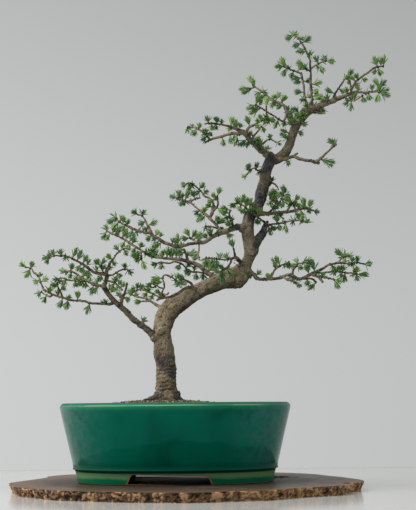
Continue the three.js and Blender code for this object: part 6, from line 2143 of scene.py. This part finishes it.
@dataclass(frozen=True)
class Lamp:
    """A square soft light that faces the middle of the tree."""

    name: str
    place: tuple[float, float, float]
    size: float  # how wide it is
    power: float  # in watts
    colour: Colour
    target: tuple[float, float, float] = (30, 0, 300)

    def build(self) -> None:
        """Hangs the lamp up."""
        data = bpy.data.lights.new(self.name, "AREA")
        data.energy, data.size, data.color = self.power, self.size * MM, self.colour
        lamp = bpy.data.objects.new(self.name, data)
        spot = Vector(self.place) * MM
        facing = (spot - Vector(self.target) * MM).to_track_quat("Z", "Y").to_matrix().to_4x4()
        lamp.matrix_world = Matrix.Translation(spot) @ facing
        bpy.context.scene.collection.objects.link(lamp)


@dataclass(frozen=True)
class Studio:
    """A pale table under even light, and the camera."""

    eye: tuple[float, float, float] = (44.8, -1530, 106.6)  # where the camera stands
    pitch: float = 7.58  # how far it looks up, in degrees
    roll: float = 0.5  # how far it is tipped, in degrees
    lens: float = 1150 / 510 * 36  # its focal length for a 36 mm sensor
    table: tuple[float, float, float] = (2600, -1250, 552)  # the top's width, and its front and rear edge
    thickness: float = 30  # the top's
    paint: Colour = (0.44, 0.44, 0.428)
    level: Colour = (0.560, 0.575, 0.572)  # the light of the surroundings at the table's level
    slope: tuple[float, float] = (-0.22, -0.25)  # how much brighter they get to the right and upwards
    roof: float = 0.9  # the light of the ceiling
    lamps: tuple[Lamp, ...] = (
        Lamp("key", (-1300, -450, 1500), 1100, 52, (1.0, 0.97, 0.93)),
        Lamp("fill", (1300, -700, 900), 1200, 5, (0.93, 0.96, 1.0)),
    )

    def build(self) -> None:
        """Sets up the table, the light and the camera."""
        self.build_table()
        self.build_world()
        for lamp in self.lamps:
            lamp.build()
        self.build_camera()

    def build_table(self) -> None:
        """The tabletop, with its rear edge rounded and painted darker towards it as shade."""
        width, front, rear = self.table
        bpy.ops.mesh.primitive_cube_add(size=MM)
        table = fresh("table_top")
        with editing(table) as mesh:
            bpy.ops.transform.resize(value=(width, rear - front, self.thickness))
            bpy.ops.transform.translate(value=(0, (rear + front) / 2 * MM, -self.thickness / 2 * MM))
            pick_edges(mesh(), lambda edge: all(v.co.z > -MM for v in edge.verts))
            bpy.ops.mesh.bevel(offset=6 * MM, segments=5, affect="EDGES")
        s = Shader.named("table_paint")
        cloud, shade = s.grain(240, 2), tuple(part * 0.8 for part in self.paint)
        # Painted shade: the top darkens towards its rounded rear edge
        edge = s.axis("Y").between(rear - 62, rear - 20)
        colour = s.mix(cloud.between(0.35, 0.65) * 0.12 + edge, self.paint, shade)
        painted(smooth(table, 30), s.done(colour, 0.12 + cloud * 0.05, Specular_IOR_Level=0.4))

    def build_world(self) -> None:
        """The surroundings, a little darker to the right and higher up, under a bright ceiling."""
        scene = bpy.context.scene
        scene.world = scene.world or bpy.data.worlds.new("surroundings")
        s = Shader(scene.world, "Generated")
        right, up = (s.signal("SeparateXYZ", {}, {"Vector": s.place}, axis) for axis in "XZ")
        light = 1 + (right * self.slope[0] + up.between(0, 0.7) * self.slope[1]) / self.level[1]
        light += up.between(0.45, 0.95) * (self.roof / self.level[1])
        glow = s.signal("Background", {}, {"Color": self.level, "Strength": light})
        s.node("OutputWorld", {}, {"Surface": glow})
        scene.view_settings.view_transform = "Standard"

    def build_camera(self) -> None:
        """Sets the camera up."""
        data = bpy.data.cameras.new("camera")
        data.lens, data.sensor_width = self.lens, 36
        camera = bpy.data.objects.new("camera", data)
        look = Matrix.Rotation(math.radians(90 + self.pitch), 4, "X")
        look @= Matrix.Rotation(math.radians(-self.roll), 4, "Z")
        camera.matrix_world = Matrix.Translation(Vector(self.eye) * MM) @ look
        bpy.context.scene.collection.objects.link(camera)
        bpy.context.scene.camera = camera


def main() -> None:
    """Builds the whole scene."""
    logging.basicConfig(level=logging.INFO, format="%(name)s: %(message)s", stream=sys.stdout)
    Slab().build()
    pot = Pot()
    pot.build()
    DrainFittings(pot).build()
    Soil(pot).build()

    crown = {"trunk_crown": ((TRUNK,), CROWN_TUFTS)}
    growth = Growth({"trunk": ((TRUNK, STUB), TRUNK_TUFTS), **BRANCHES, **crown})
    growth.grow()
    foliage = Foliage()
    limbs = [routes for routes, _ in BRANCHES.values()]
    Trunk(limbs, [tuft for tuft in growth.tufts if tuft.branch.startswith("trunk")], foliage).build()
    for name, routes in zip(BRANCHES, limbs):
        Spray(name, routes, [tuft for tuft in growth.tufts if tuft.branch == name], foliage).build()
    foliage.clear()

    Studio().build()


if __name__ == "__main__":
    main()
